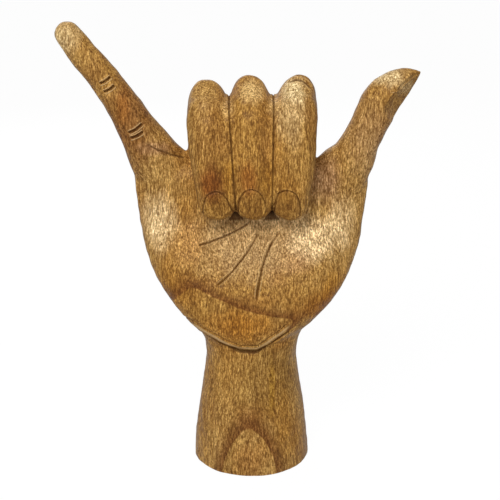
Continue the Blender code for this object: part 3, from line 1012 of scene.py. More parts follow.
    def web_line(self) -> Stroke:
        """Line from the little finger's root down to the ring finger, over the edge of the palm."""
        return Stroke(((-71.5, 226.0), (-64.0, 220.9), (-55.0, 216.6), (-46.6, 213.4), (-42.4, 211.8)),
                      1.3, 0.75, fade_in=0.3, fade_out=0.1)

    def strokes(self) -> list[Stroke]:
        """Every single stroke."""
        return (self.palm_lines() + self.little_finger_creases() + self.nail_cuts() + self.fold_lines()
                + self.index_edge() + self.tip_outlines()
                + [self.little_nail(), self.web_line(), self.nail_ridge()])

    def groove_gap(self, skin: Skin) -> Array:
        """Distance of each point from the nearer groove between the curled fingers.

        It counts only above the fingertips in front, and above the knuckles behind.
        """
        x, y, z = skin.points.T
        front = self.fingers.tip_height() + self.groove_foot * self.fingers.notch
        lowest = np.where(y < -self.body.hollow_front, front, self.body.knuckle_height + self.groove_start)
        return np.where(z > lowest, self.fingers.seam_gap(x, z), FAR_OFF)

    def crease_gap(self, skin: Skin) -> Array:
        """Signed distance of each point above the leaning, tilted crease under the heel."""
        x, y, z = skin.points.T
        lean = self.body.crease_lean
        facing = np.clip(-y / self.body.neck_front, 0.0, 1.0)
        sweep = swept(x, self.crease_rise, self.crease_lowest)
        height = z - self.body.crease_height() + self.crease_drop - lean * y - sweep * facing ** 2
        return height / math.hypot(1.0, lean)

    def refine(self, skin: Skin) -> None:
        """Make the skin fine where it is going to be cut: two rounds, the second one narrower."""
        for margin in self.margins:
            x, y, _ = skin.points.T
            normals = skin.normals()
            near = self.groove_gap(skin) < self.groove_half_width + margin
            above = self.crease_gap(skin)
            crease = np.minimum(np.abs(above), np.abs(above - self.rim_height)) < self.fine_crease + margin
            near |= crease & (y < self.fine_back) & (np.abs(x - self.fine_middle) < self.fine_reach)
            for stroke in self.strokes():
                found, gap, _ = stroke.near(skin, normals, stroke.half_width + margin)
                near[found[gap < stroke.half_width + margin]] = True
            for gap in self.gaps():
                offset = np.abs(skin.points[:, [0, 2]] - gap.outline().mean(axis=0))
                near |= (offset < gap.height / 2 + margin).all(axis=1) & (y < gap.behind)
            fresh = skin.refine(near)
            skin.relax(self.fine_rounds, fresh.astype(float), shrink_back=1.0)

    def wave(self, skin: Skin) -> Array:
        """Unevenness of a hand-worked surface: a sum of sines over crossing directions."""
        total = np.zeros(len(skin.points))
        for number, length in enumerate(self.wave_lengths):
            turn = self.wave_turn * number
            way = np.array([math.cos(turn), 0.8 * math.sin(1.7 * turn), math.sin(turn)])
            other = np.array([math.sin(turn), math.cos(1.3 * turn), -math.cos(turn)])
            crossed = (np.sin(skin.points @ way * 2 * math.pi / length + number)
                       * np.cos(skin.points @ other * 1.6 * math.pi / length))
            total += (length / self.wave_lengths[0]) ** self.wave_fall * crossed
        return self.waviness * total

    def cut(self, skin: Skin) -> Array:
        """Flatten the facets, raise the ridges, then push the cuts inwards along the normals.

        Args:
            skin: the refined skin, which is changed.

        Returns:
            How deep each point was cut, in millimetres, below zero on a lip, where the wood gets a painted
            highlight.
            The flat on the thumb and the gaps between the fingertips get values too, which only paint shade
            on them.
        """
        flat = self.thumb_nail.flatten(skin)
        for nail in self.nails():
            nail.flatten(skin, skin.normals())
        skin.relax(self.facet_rounds, np.full(len(skin.points), self.facet_softness))
        normals = skin.normals()
        raised = self.wave(skin)
        for ridge in self.ridges():
            found, height = ridge.cut(skin, normals)
            raised[found] -= height
        skin.points = skin.points + raised[:, None] * normals
        normals = skin.normals()
        depth = self.groove_depth * tent(self.groove_gap(skin) / self.groove_half_width)
        cuts = [(np.arange(len(depth)), self.heel_crease(skin))]
        cuts += [stroke.cut(skin, normals) for stroke in self.strokes()]
        for found, cut in cuts:
            depth[found] = np.where(np.abs(cut) > np.abs(depth[found]), cut, depth[found])
        skin.points = skin.points - depth[:, None] * normals
        # Painted shade on the thumb's flat and painted shadow in the fingertips' gaps: they change only the
        # colour, not the points.
        depth = np.where(flat > 0.0, np.maximum(depth, self.flat_shade * flat), depth)
        for gap in self.gaps():
            found, shade = gap.darken(skin)
            depth[found] = np.maximum(depth[found], shade)
        return depth

    def heel_crease(self, skin: Skin) -> Array:
        """Depth of the crease under the heel: a deep line, a low rim over it, and a fine line on top. The
        rim's depth is below zero, so it gets a painted highlight.
        """
        x, y, _ = skin.points.T
        fade = ((1.0 - soft_step(y, *self.crease_fade_back)) * (1.0 - soft_step(x, *self.crease_fade_right))
                * (1.0 - soft_step(-x, *self.crease_fade_left)))
        above = self.crease_gap(skin)
        line = self.crease_depth * tent(above / self.crease_half_width)
        fine = self.rim_depth * tent((above - self.rim_height) / self.rim_line)
        away = np.abs(above - self.rim_middle * self.rim_height) / self.rim_half_width
        rim = self.rim_swell * soft_step(1.0 - away, 0.0, 1.0)
        return fade * (line + fine - rim)


@dataclass
class Division:
    """Seams at which the block is divided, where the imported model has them."""

    body: WristAndPalm
    fingers: CurledFingers
    valley_margin: float = 0.2
    valley_rise: float = 15.5
    little_seam_rise: float = 8.5
    thumb_seam_drop: float = 16.0
    finger_seam_rise: float = 7.0
    fingertip_seat: float = 3.3
    fingertip_clearance: float = 1.5
    reach: float = 400.0

    def valley(self) -> float:
        """How far the valleys beside the curled fingers lie from the middle."""
        return 1.5 * self.fingers.width + self.valley_margin

    def wrist(self, low: float) -> Array:
        """Cell of the wrist: from a height up to a plane that leans with the heel crease."""
        deep = self.body.foot_depth
        middle, lean = self.body.crease_height(), self.body.crease_lean
        outline = [(-deep, low), (deep, low), (deep, middle + lean * deep), (-deep, middle - lean * deep)]
        return np.array([[(x, y, z) for y, z in outline] for x in (-self.reach, self.reach)])

    def root(self, sense: int, seam_rise: float) -> Array:
        """Cell of a held-out finger: above a seam that runs out from the valley."""
        valley = self.valley()
        slope = seam_rise / (self.body.palm_width / 2 - valley)
        seam = self.body.knuckle_height + self.valley_rise
        outline = [(valley, seam), (self.reach, seam + slope * (self.reach - valley)),
                   (self.reach, self.reach), (valley, self.reach)]
        return np.array([[(sense * x, y, z) for x, z in outline] for y in (-self.reach, self.reach)])

    def curled(self, first: int, last: int) -> Array:
        """Cell of curled fingers: above the knuckles, and in front of the palm above the tips.

        Args:
            first: place of the first finger, -1, 0 or 1.
            last: place of the last one.

        Returns:
            The outlines of its two sides.
        """
        seat = -self.body.hollow_front - self.fingertip_seat
        floor = self.body.knuckle_height + self.finger_seam_rise
        low = self.fingers.tip_height() - self.fingertip_clearance
        outline = [(-self.reach, low), (seat, low), (seat, floor), (self.reach, floor),
                   (self.reach, self.reach), (-self.reach, self.reach)]
        sides = []
        for order, side in ((first, -1), (last, 1)):
            if order == side:
                sides.append([(side * self.valley(), y, z) for y, z in outline])
            else:
                sides.append([(float(self.fingers.seam(order + side / 2, z)), y, z) for y, z in outline])
        return np.array(sides)

    def cells(self) -> dict[str, Array]:
        """Two matching outlines for each part but the palm, which is what the others leave."""
        made = {"wrist_pedestal": self.wrist(0.0), "little_finger": self.root(-1, self.little_seam_rise),
                "thumb": self.root(1, -self.thumb_seam_drop)}
        for name, order in self.fingers.names.items():
            made[name] = self.curled(order, order)
        return made

    def cutter(self, name: str, cells: list[Array]) -> bpy.types.Object:
        """Closed solids, each between two matching outlines, that don't touch each other."""
        shape = bmesh.new()
        for sides in cells:
            near, far = ([shape.verts.new(Vector(p) * MM) for p in side] for side in sides)
            shape.faces.new(near)
            shape.faces.new(far)
            for i in range(len(near)):
                j = (i + 1) % len(near)
                shape.faces.new((near[i], near[j], far[j], far[i]))
        bmesh.ops.recalc_face_normals(shape, faces=shape.faces)
        mesh = bpy.data.meshes.new(name)
        shape.to_mesh(mesh)
        shape.free()
        return placed(f"{name}_cell", mesh)

    def piece(self, name: str, block: bpy.types.Object, cutters: list[bpy.types.Object],
              operation: str) -> bpy.types.Object:
        """Cut one piece out of the block, with the block's own normals on its skin.

        Args:
            name: the piece's name.
            block: the whole carved block.
            cutters: cells that it is cut with.
            operation: INTERSECT or DIFFERENCE.

        Returns:
            The piece, as a plain mesh.
        """
        work = placed(name, block.data.copy())
        for cutter in cutters:
            cut = work.modifiers.new(cutter.name, "BOOLEAN")
            cut.operation = operation
            cut.solver = "MANIFOLD"
            cut.object = cutter
        shading = work.modifiers.new("skin_normals", "DATA_TRANSFER")
        shading.object = block
        shading.use_loop_data = True
        shading.data_types_loops = {"CUSTOM_NORMAL"}
        shading.loop_mapping = "POLYINTERP_NEAREST"
        mesh = finished_mesh(work)
        mesh.name = name
        bpy.data.objects.remove(work, do_unlink=True)
        return placed(name, mesh)

    def divide(self, block: bpy.types.Object) -> dict[str, bpy.types.Object]:
        """Divide the block into its seven closed pieces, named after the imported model's nodes."""
        cells = self.cells()
        cutters = {name: self.cutter(name, [sides]) for name, sides in cells.items()}
        made = {name: self.piece(f"{name}_carved", block, [cutter], "INTERSECT")
                for name, cutter in cutters.items()}
        below = self.cutter("wrist_and_curled", [self.wrist(-self.body.foot_depth), self.curled(-1, 1)])
        beside = self.cutter("held_out", [cells["little_finger"], cells["thumb"]])
        made["palm"] = self.piece("palm_carved", block, [below, beside], "DIFFERENCE")
        for cutter in [*cutters.values(), below, beside]:
            bpy.data.objects.remove(cutter, do_unlink=True)
        return made


class Graph:
    """Adds and links shader nodes in one tree."""

    def __init__(self, tree: bpy.types.NodeTree) -> None:
        """Keep the tree."""
        self.tree = tree

    def feed(self, socket: Socket, value: object) -> None:
        """Link a socket to another one, or set its value."""
        if isinstance(value, Socket):
            self.tree.links.new(value, socket)
        elif value is not None:
            socket.default_value = value

    def node(self, kind: str, inputs: dict | None = None, **settings: object) -> bpy.types.Node:
        """Add a node, set its properties and feed its inputs by name or number."""
        made = self.tree.nodes.new(kind)
        for key, value in settings.items():
            setattr(made, key, value)
        for key, value in (inputs or {}).items():
            self.feed(made.inputs[key], value)
        return made

    def math(self, operation: str, a: object, b: object = None) -> Socket:
        """Result of a Math node."""
        return self.node("ShaderNodeMath", {0: a, 1: b}, operation=operation).outputs[0]

    def times(self, a: object, b: object) -> Socket:
        """Product of two values."""
        return self.math("MULTIPLY", a, b)

    def plus(self, a: object, b: object) -> Socket:
        """Sum of two values."""
        return self.math("ADD", a, b)

    def minus(self, a: object, b: object) -> Socket:
        """What is left of the first value without the second."""
        return self.math("SUBTRACT", a, b)

    def vector(self, operation: str, a: object, b: object = None) -> Socket:
        """Result of a Vector Math node."""
        return self.node("ShaderNodeVectorMath", {0: a, 1: b}, operation=operation).outputs["Vector"]

    def length(self, a: object) -> Socket:
        """Length of a vector."""
        return self.node("ShaderNodeVectorMath", {0: a}, operation="LENGTH").outputs["Value"]

    def part(self, vector: object, axis: str) -> Socket:
        """One part of a vector: X, Y or Z."""
        return self.node("ShaderNodeSeparateXYZ", {0: vector}).outputs[axis]

    def joined(self, **parts: object) -> Socket:
        """Vector with the given parts, 0 where none is given."""
        return self.node("ShaderNodeCombineXYZ", parts).outputs[0]

    def attribute(self, name: str) -> Socket:
        """Number that the mesh keeps at each point."""
        return self.node("ShaderNodeAttribute", attribute_name=name).outputs["Fac"]

    def group(self, tree: bpy.types.NodeTree, inputs: dict[str, object]) -> bpy.types.bpy_prop_collection:
        """Outputs of a group's node, with its inputs fed."""
        return self.node("ShaderNodeGroup", inputs, node_tree=tree).outputs

    def mix(self, share: object, a: object, b: object, way: str = "MIX") -> Socket:
        """Colour mixed by a share."""
        made = self.node("ShaderNodeMix", {0: share, 6: a, 7: b}, data_type="RGBA", blend_type=way)
        return made.outputs[2]

    def remap(self, value: object, low: float, high: float, to_low: float = 0.0,
              to_high: float = 1.0) -> Socket:
        """Value moved from one range to another with a soft step, held at its ends."""
        return self.node("ShaderNodeMapRange", {0: value, 1: low, 2: high, 3: to_low, 4: to_high},
                         interpolation_type="SMOOTHSTEP").outputs[0]

    def noise(self, place: object, scale: Triple, detail: float = 2.0,
              roughness: float = 0.5) -> Socket:
        """Noise on a place, with its own scale along each axis."""
        stretched = self.vector("MULTIPLY", place, scale)
        return self.node("ShaderNodeTexNoise", {"Vector": stretched, "Scale": 1.0, "Detail": detail,
                                                "Roughness": roughness}).outputs["Fac"]


def new_group(name: str, inputs: dict[str, tuple[str, object]], outputs: dict[str, str]) -> tuple:
    """Make a shader node group with named sockets.

    Args:
        name: the group's name.
        inputs: for each input its socket type and default value.
        outputs: for each output its socket type.

    Returns:
        The group, its graph, its input sockets by name and its output node.
    """
    group = bpy.data.node_groups.new(name, "ShaderNodeTree")
    for label, (kind, value) in inputs.items():
        socket = group.interface.new_socket(name=label, in_out="INPUT", socket_type=kind)
        if value is not None:
            socket.default_value = value
    for label, kind in outputs.items():
        group.interface.new_socket(name=label, in_out="OUTPUT", socket_type=kind)
    graph = Graph(group)
    source = graph.node("NodeGroupInput")
    sink = graph.node("NodeGroupOutput")
    return group, graph, {label: source.outputs[label] for label in inputs}, sink


FLOAT = "NodeSocketFloat"
VECTOR = "NodeSocketVector"


def ring_group() -> bpy.types.NodeTree:
    """Growth rings round an upright pith, as the back of the hand cuts them.

    The distance from the pith, bent by slow noise, is counted in ring widths. The
    fraction f of the count gives the late wood: f to a power, growing darker outwards,
    and pale again just past the edge.
    """
    group, graph, given, sink = new_group(
        "growth_rings",
        {"Position": (VECTOR, None), "Pith": (VECTOR, (-0.01, -0.07, 0.0)), "Width": (FLOAT, 0.022),
         "Wobble": (FLOAT, 0.006), "Sharpness": (FLOAT, 4.0)},
        {"Late Wood": FLOAT})
    place = given["Position"]
    flat = graph.vector("MULTIPLY", graph.vector("SUBTRACT", place, given["Pith"]), (1.0, 1.0, 0.06))
    bend = graph.minus(graph.noise(place, (16.0, 16.0, 7.0), 2.0), 0.5)
    bent = graph.plus(graph.length(flat), graph.times(bend, given["Wobble"]))
    part = graph.math("FRACT", graph.math("DIVIDE", bent, given["Width"]))
    late = graph.math("POWER", part, given["Sharpness"])
    late = graph.times(late, graph.remap(part, 0.97, 1.0, 1.0, 0.0))
    behind = graph.remap(graph.part(place, "Y"), 0.006, 0.016)
    graph.feed(sink.inputs["Late Wood"], graph.times(late, behind))
    return group


def figure_group() -> bpy.types.NodeTree:
    """Closed figure where a swelling of the front cuts through one growth ring.

    Seen from the front it is a super-ellipse: the sum of the places across and up, each
    in its own radius and to a power n, under the root of n. It is 1 on the ring's edge. A
    bend lifts its ends by the square of the place across, and a lean slants its sides.
    The late wood is darkest just outside the edge and fades away from it.
    """
    group, graph, given, sink = new_group(
        "ring_figure",
        {"Position": (VECTOR, None), "Middle": (VECTOR, None), "Radius": (VECTOR, (0.02, 1.0, 0.02)),
         "Turn": (FLOAT, 0.0), "Bend": (FLOAT, 0.0), "Lean": (FLOAT, 0.0), "Squareness": (FLOAT, 2.0),
         "Fade": (FLOAT, 0.25), "Wobble": (FLOAT, 0.12)},
        {"Late Wood": FLOAT})
    place = given["Position"]
    offset = graph.vector("SUBTRACT", place, given["Middle"])
    across = graph.part(offset, "X")
    sag = graph.times(graph.times(across, across), given["Bend"])
    offset = graph.vector("SUBTRACT", offset, graph.joined(Z=sag))
    turned = graph.node("ShaderNodeVectorRotate", {"Vector": offset, "Angle": given["Turn"]},
                        rotation_type="Y_AXIS").outputs[0]
    slant = graph.joined(X=graph.times(graph.part(turned, "Z"), given["Lean"]))
    leaning = graph.vector("SUBTRACT", turned, slant)
    shares = graph.vector("ABSOLUTE", graph.vector("DIVIDE", leaning, given["Radius"]))
    powers = [graph.math("POWER", graph.part(shares, axis), given["Squareness"]) for axis in ("X", "Z")]
    root = graph.math("DIVIDE", 1.0, given["Squareness"])
    norm = graph.math("POWER", graph.plus(*powers), root)
    rag = graph.minus(graph.noise(place, (70.0, 70.0, 50.0), 3.0, 0.6), 0.5)
    norm = graph.plus(norm, graph.times(rag, given["Wobble"]))
    away = graph.math("DIVIDE", graph.minus(norm, 1.0), given["Fade"])
    late = graph.times(graph.remap(away, 0.0, 1.0, 1.0, 0.0), graph.remap(norm, 0.985, 1.03))
    front = graph.remap(graph.part(place, "Y"), -0.006, 0.004, 1.0, 0.0)
    graph.feed(sink.inputs["Late Wood"], graph.times(late, front))
    return group


def grain_group() -> bpy.types.NodeTree:
    """Upright fibres, a fine stipple and open pores.

    All are noise drawn out along the trunk: slow streaks, bands, fine fibres, a short
    stipple, and pores where a narrow noise passes a threshold, so that they show as
    dashes on the sides of the grain and as dots across it.
    """
    group, graph, given, sink = new_group(
        "upright_grain", {"Position": (VECTOR, None)},
        {"Streaks": FLOAT, "Bands": FLOAT, "Fibres": FLOAT, "Stipple": FLOAT, "Pores": FLOAT})
    place = given["Position"]
    sway = graph.noise(place, (22.0, 22.0, 9.0), 1.0)
    swayed = graph.vector("ADD", place, graph.joined(X=graph.times(sway, 0.012)))
    for name, where, scale, detail, roughness in (
            ("Streaks", swayed, (230.0, 230.0, 8.0), 3.0, 0.55),
            ("Bands", swayed, (560.0, 560.0, 30.0), 2.0, 0.5),
            ("Fibres", swayed, (1250.0, 1250.0, 230.0), 1.0, 0.6),
            ("Stipple", place, (1150.0, 1150.0, 800.0), 1.0, 0.7)):
        graph.feed(sink.inputs[name], graph.noise(where, scale, detail, roughness))
    pores = graph.noise(swayed, (1150.0, 1150.0, 260.0), 0.0)
    graph.feed(sink.inputs["Pores"], graph.remap(pores, 0.60, 0.74))
    return group


def patch_group() -> bpy.types.NodeTree:
    """Soft patch: 1 in the middle of an ellipsoid, 0 at its edge, with a ragged rim.

    The distance from the middle is measured in the ellipsoid's own radii.
    """
    group, graph, given, sink = new_group(
        "soft_patch",
        {"Position": (VECTOR, None), "Middle": (VECTOR, None), "Radius": (VECTOR, (0.02, 0.02, 0.02))},
        {"Mask": FLOAT})
    place = given["Position"]
    offset = graph.vector("DIVIDE", graph.vector("SUBTRACT", place, given["Middle"]), given["Radius"])
    rag = graph.times(graph.noise(place, (120.0, 120.0, 50.0), 3.0), 0.7)
    gap = graph.plus(graph.length(offset), graph.minus(rag, 0.35))
    graph.feed(sink.inputs["Mask"], graph.remap(gap, 0.25, 1.05, 1.0, 0.0))
    return group


@dataclass(frozen=True)
class Patch:
    """Place with a tone of its own, most of them the wood's and some painted light: middle and radii in mm,
    colour, strength.
    """

    middle: Triple
    radius: Triple
    colour: Triple
    strength: float


def in_metres(place: Triple) -> list[float]:
    """A place or a size in millimetres, in metres."""
    return [value * MM for value in place]


def linear(red: float, green: float, blue: float) -> tuple[float, float, float, float]:
    """Scene-linear colour of screen values from 0 to 255."""
    parts = [value / 255.0 for value in (red, green, blue)]
    return (*[p / 12.92 if p <= 0.04045 else ((p + 0.055) / 1.055) ** 2.4 for p in parts], 1.0)


@dataclass(frozen=True)
class Figure:
    """Closed ring figure on the front: middle and radii in mm, turn in degrees, bend in 1/m.

    A figure on the heel ends at the crease.
    """

    middle: Triple
    radius: Triple
    turn: float
    bend: float
    lean: float
    squareness: float
    fade: float
    on_heel: bool


@dataclass(frozen=True)
class OiledWood:
    """Oiled hardwood with a satin polish. Colours are screen values."""

    mid: Triple = (174, 126, 58)
    pale: Triple = (190, 146, 80)
    amber: Triple = (166, 110, 42)
    late: Triple = (108, 58, 20)
    pore: Triple = (92, 52, 18)
    # Painted light: shade darkens the cuts, gap is the painted shadow in the fingertips' gaps, lip a painted
    # highlight on lips and ridges, edge the painted shade where the surface is seen edge-on.
    shade: Triple = (84, 50, 20)
    gap: Triple = (40, 22, 10)
    lip: Triple = (232, 196, 140)
    edge: Triple = (96, 64, 28)
    amber_share: float = 0.55
    pore_share: float = 0.55
    shade_share: float = 0.8
    ring_share: float = 0.7
    figure_share: float = 0.78
    roughness: float = 0.40
    fibre_roughness: float = 0.16
    pore_roughness: float = 0.2
    cut_roughness: float = 0.25
    shine: float = 0.13
    fibre_relief: float = 0.4
    relief_strength: float = 0.3
    relief_height: float = 0.0004
    weights: tuple[tuple[str, float, float], ...] = (
        ("Streaks", 0.86, 1.12), ("Bands", 0.80, 1.18), ("Fibres", 0.58, 1.42), ("Stipple", 0.72, 1.28))

    def palm_patches(self) -> list[Patch]:
        """Tones of the palm, the heel and the wrist: most are the wood's own, and some are painted light, as
        marked.
        """
        cream, orange, amber = (250, 214, 156), (212, 156, 82), (180, 124, 46)
        pink, brown, gold = (194, 144, 90), (156, 102, 44), (186, 138, 48)
        fawn, umber, olive, straw = (200, 160, 104), (182, 118, 38), (148, 108, 48), (222, 178, 116)
        mauve, russet = (172, 128, 86), (154, 92, 24)
        # Partly painted light: the middle of the palm is paler, against the fingers' shadow.
        return [Patch((0, -16, 156), (56, 24, 34), fawn, 0.8),
                # The next two are partly painted highlight, on the mounds that face the light.
                Patch((43, -24, 164), (30, 26, 20), cream, 0.85),
                Patch((-62, -18, 172), (17, 26, 24), cream, 0.8),
                Patch((-42, -26, 160), (16, 18, 20), orange, 0.7),
                # Painted light against the fingertips' shadow on the palm under them.
                Patch((12, -14, 172), (36, 14, 9), cream, 0.5),
                # Partly painted highlight, on the thumb's mound where it faces the light.
                Patch((60, -12, 172), (12, 24, 22), cream, 0.45),
                Patch((56, -20, 124), (26, 24, 26), amber, 0.9),
                Patch((45, -20, 118), (24, 26, 16), russet, 0.7),
                Patch((17, -27, 138), (9, 14, 8), brown, 0.3),
                # Painted shade under the right end of the heel's rim.
                Patch((19, -25, 91), (10, 16, 9), umber, 0.45),
                Patch((-54, -18, 128), (24, 24, 18), amber, 0.6),
                Patch((28, -28, 148), (14, 14, 12), pink, 0.5),
                Patch((-30, -34, 134), (18, 14, 8), brown, 0.35),
                Patch((2, -36, 123), (24, 14, 8), brown, 0.35),
                Patch((-8, -36, 106), (36, 14, 15), umber, 0.6),
                Patch((-76, -5, 182), (9, 22, 30), brown, 0.35),
                Patch((46, -14, 200), (15, 18, 24), mauve, 0.8),
                Patch((14, -24, 60), (34, 40, 36), olive, 0.65),
                Patch((14, -30, 60), (3, 16, 26), gold, 0.5),
                # Painted light against the fingertips' shadow on the palm under them.
                Patch((0, -14, 166), (36, 12, 9), straw, 0.6),
                Patch((-2, -40, 42), (20, 12, 16), brown, 0.6),
                Patch((24, -30, 34), (16, 20, 38), amber, 0.5),
                Patch((-2, -40, 12), (15, 10, 20), brown, 0.6)]

    def figures(self) -> list[Figure]:
        """Ring figures of the heel and of the front of the foot."""
        return [Figure((-19.9, 0, 99.1), (36.8, 1000, 22), -24, 4.1, 0.30, 11, 0.38, True),
                Figure((-1.2, 0, 0), (18.3, 1000, 33), 0, 0, 0, 1.6, 0.60, False)]

    def finger_patches(self) -> list[Patch]:
        """Tones of the fingers and the thumb: most are the wood's own, and some are painted light, as
        marked.
        """
        olive, red, russet = (168, 114, 38), (124, 64, 18), (158, 96, 36)
        pale, straw, rose = (238, 206, 148), (232, 190, 122), (176, 130, 88)
        nail, tan, almond = (142, 98, 40), (138, 88, 40), (192, 150, 100)
        # Painted shade on the nail flats, which face a little downwards.
        nails = [Patch((x, -36, 187), (11, 12, 12), nail, 0.75) for x in (-21, 1.5, 23.5)]
        return [*nails,
                Patch((-78, -6, 235), (22, 20, 42), tan, 0.85),
                Patch((78, -8, 226), (22, 24, 34), almond, 0.6),
                Patch((-14, -36, 206), (6, 14, 16), olive, 0.8),
                Patch((9, -36, 206), (7, 14, 18), olive, 0.8),
                Patch((22, -36, 200), (10, 14, 12), olive, 0.3),
                Patch((-10.5, -34, 203), (5.5, 14, 11), nail, 0.8),
                Patch((7, -34, 206), (6, 14, 20), nail, 0.55),
                Patch((8, -30, 226), (6, 18, 26), tan, 0.35),
                Patch((-18, -30, 228), (6, 18, 16), tan, 0.3),
                Patch((38, -18, 242), (8, 22, 26), tan, 0.5),
                Patch((82, -6, 236), (9, 20, 26), tan, 0.5),
                Patch((-25, -36, 203), (11, 14, 17), red, 0.85),
                Patch((-2, -38, 206), (8, 14, 15), russet, 0.75),
                # These six are partly painted highlight on the tops of the curled fingers, where they turn
                # up to the light.
                Patch((24, -25, 245), (12, 26, 28), pale, 0.35),
                Patch((25.5, -20, 258), (11, 18, 12), pale, 0.95),
                Patch((14, -20, 250), (7, 20, 10), straw, 0.5),
                Patch((-15, -20, 250), (7, 20, 10), straw, 0.45),
                Patch((0, -20, 258), (11, 18, 11), straw, 0.85),
                Patch((-28, -20, 253), (10, 18, 10), straw, 0.2),
                Patch((-28, -30, 232), (13, 20, 34), tan, 0.3),
                # The next two are partly painted highlight on the top of the thumb.
                Patch((87, -6, 265), (16, 14, 9), pale, 0.75),
                Patch((96, -6, 259), (8, 16, 7), pale, 0.5),
                # Partly painted highlight on the little fingertip.
                Patch((-116, -4, 290), (13, 13, 13), pale, 0.65),
                Patch((-100, -4, 267), (12, 14, 13), tan, 0.5),
                Patch((-49, -14, 218.5), (13, 18, 5), tan, 0.5),
                Patch((-82, -8, 246), (7, 12, 14), russet, 0.6),
                Patch((-62, -10, 220), (15, 12, 6), rose, 0.6)]

    def ground(self, graph: Graph, place: Socket) -> Socket:
        """Slow change from the middle tone to the pale one and to amber, under everything else."""
        slow = graph.noise(place, (14.0, 14.0, 6.0), 3.0, 0.6)
        cloud = graph.noise(place, (38.0, 38.0, 20.0), 3.0, 0.6)
        colour = graph.mix(graph.remap(slow, 0.35, 0.65), linear(*self.mid), linear(*self.pale))
        share = graph.times(graph.remap(cloud, 0.45, 0.75), self.amber_share)
        return graph.mix(share, colour, linear(*self.amber))

    def patched(self, graph: Graph, place: Socket, colour: Socket) -> Socket:
        """Colour with the tones of the patches, one over the other."""
        blotch = patch_group()
        for patch in self.palm_patches() + self.finger_patches():
            mask = graph.group(blotch, {"Position": place, "Middle": in_metres(patch.middle),
                                        "Radius": in_metres(patch.radius)})
            colour = graph.mix(graph.times(mask["Mask"], patch.strength), colour, linear(*patch.colour))
        return colour

    def late_wood(self, graph: Graph, place: Socket) -> Socket:
        """Share of late wood: the rings of the back, and the figures of the front."""
        late = graph.times(graph.group(ring_group(), {"Position": place})["Late Wood"], self.ring_share)
        heel = graph.remap(graph.attribute("over_crease"), 0.0, 0.8)
        drawing = figure_group()
        for figure in self.figures():
            shape = graph.group(drawing, {
                "Position": place, "Middle": in_metres(figure.middle), "Radius": in_metres(figure.radius),
                "Turn": math.radians(figure.turn), "Bend": figure.bend, "Lean": figure.lean,
                "Squareness": figure.squareness, "Fade": figure.fade})
            ring = graph.times(shape["Late Wood"], heel if figure.on_heel else 1.0)
            late = graph.math("MAXIMUM", late, graph.times(ring, self.figure_share))
        return late

    def build(self) -> bpy.types.Material:
        """Make the material: tones from rings, grain and patches, painted shade in the cuts, the gaps and
        towards the outline, a painted highlight on the lips, and relief from pores and cuts.
        """
        made = bpy.data.materials.new(SLOT)
        made.use_nodes = True
        graph = Graph(made.node_tree)
        shader = made.node_tree.nodes["Principled BSDF"]
        place = graph.node("ShaderNodeTexCoord").outputs["Object"]
        # Depth of the cuts, with painted shade values on the thumb's flat and in the fingertips' gaps.
        cut = graph.attribute("cut_depth_and_painted_shade")
        grain = graph.group(grain_group(), {"Position": place})
        colour = self.patched(graph, place, self.ground(graph, place))
        colour = graph.mix(self.late_wood(graph, place), colour, linear(*self.late))
        for name, low, high in self.weights:
            colour = self.shaded(graph, colour, graph.remap(grain[name], 0.3, 0.7, low, high))
        colour = graph.mix(graph.times(grain["Pores"], self.pore_share), colour, linear(*self.pore))
        # Painted highlight on raised lips, ridges and the heel's rim, where the depth is below zero.
        colour = graph.mix(graph.remap(cut, -0.05, -0.35, 0.0, 0.6), colour, linear(*self.lip))
        # Painted shade in the cuts, darker the deeper they go; the flat on the thumb gets it too.
        crevice_shade = graph.remap(cut, 0.05, 0.75)
        colour = graph.mix(graph.times(crevice_shade, self.shade_share), colour, linear(*self.shade))
        # Painted shade: darker where the surface is seen edge-on, towards the outline.
        facing = graph.node("ShaderNodeLayerWeight", {"Blend": 0.5}).outputs["Facing"]
        colour = graph.mix(graph.remap(facing, 0.55, 1.0, 0.0, 0.6), colour, linear(*self.edge))
        # Painted shadow: near black in the gaps between the fingertips, and a little at the bottom of the
        # deepest cuts.
        colour = graph.mix(graph.remap(cut, 0.9, 2.8), colour, linear(*self.gap))
        graph.feed(shader.inputs["Base Color"], colour)
        rough = self.roughness
        for value, share in ((grain["Fibres"], self.fibre_roughness), (grain["Pores"], self.pore_roughness),
                             (crevice_shade, self.cut_roughness)):
            rough = graph.plus(rough, graph.times(value, share))
        graph.feed(shader.inputs["Roughness"], rough)
        graph.feed(shader.inputs["Specular IOR Level"], self.shine)
        relief = graph.plus(graph.times(grain["Fibres"], self.fibre_relief), grain["Stipple"])
        relief = graph.minus(relief, grain["Pores"])
        bump = graph.node("ShaderNodeBump", {"Strength": self.relief_strength, "Height": relief,
                                             "Distance": self.relief_height})
        graph.feed(shader.inputs["Normal"], bump.outputs["Normal"])
        return made

    def shaded(self, graph: Graph, colour: Socket, factor: Socket) -> Socket:
        """Colour multiplied by a factor, and by powers of it in green and blue.

        So the dark flecks are browner than the wood around them, and the light ones paler.
        """
        tint = graph.joined(X=factor, Y=graph.math("POWER", factor, 1.2), Z=graph.math("POWER", factor, 1.5))
        return graph.mix(1.0, colour, tint, "MULTIPLY")


@dataclass(frozen=True)
class Lamp:
    """Square soft box, with its place and size in metres and its power in watts."""

    name: str
    place: Triple
    size: float
    power: float

    def hang(self, target: Triple) -> None:
        """Hang the lamp so that it points at a target."""
        data = bpy.data.lights.new(self.name, "AREA")
        data.shape = "SQUARE"
        data.size = self.size
        data.energy = self.power
        made = placed(self.name, data)
        made.location = self.place
        made.rotation_euler = (Vector(target) - Vector(self.place)).to_track_quat("-Z", "Y").to_euler()


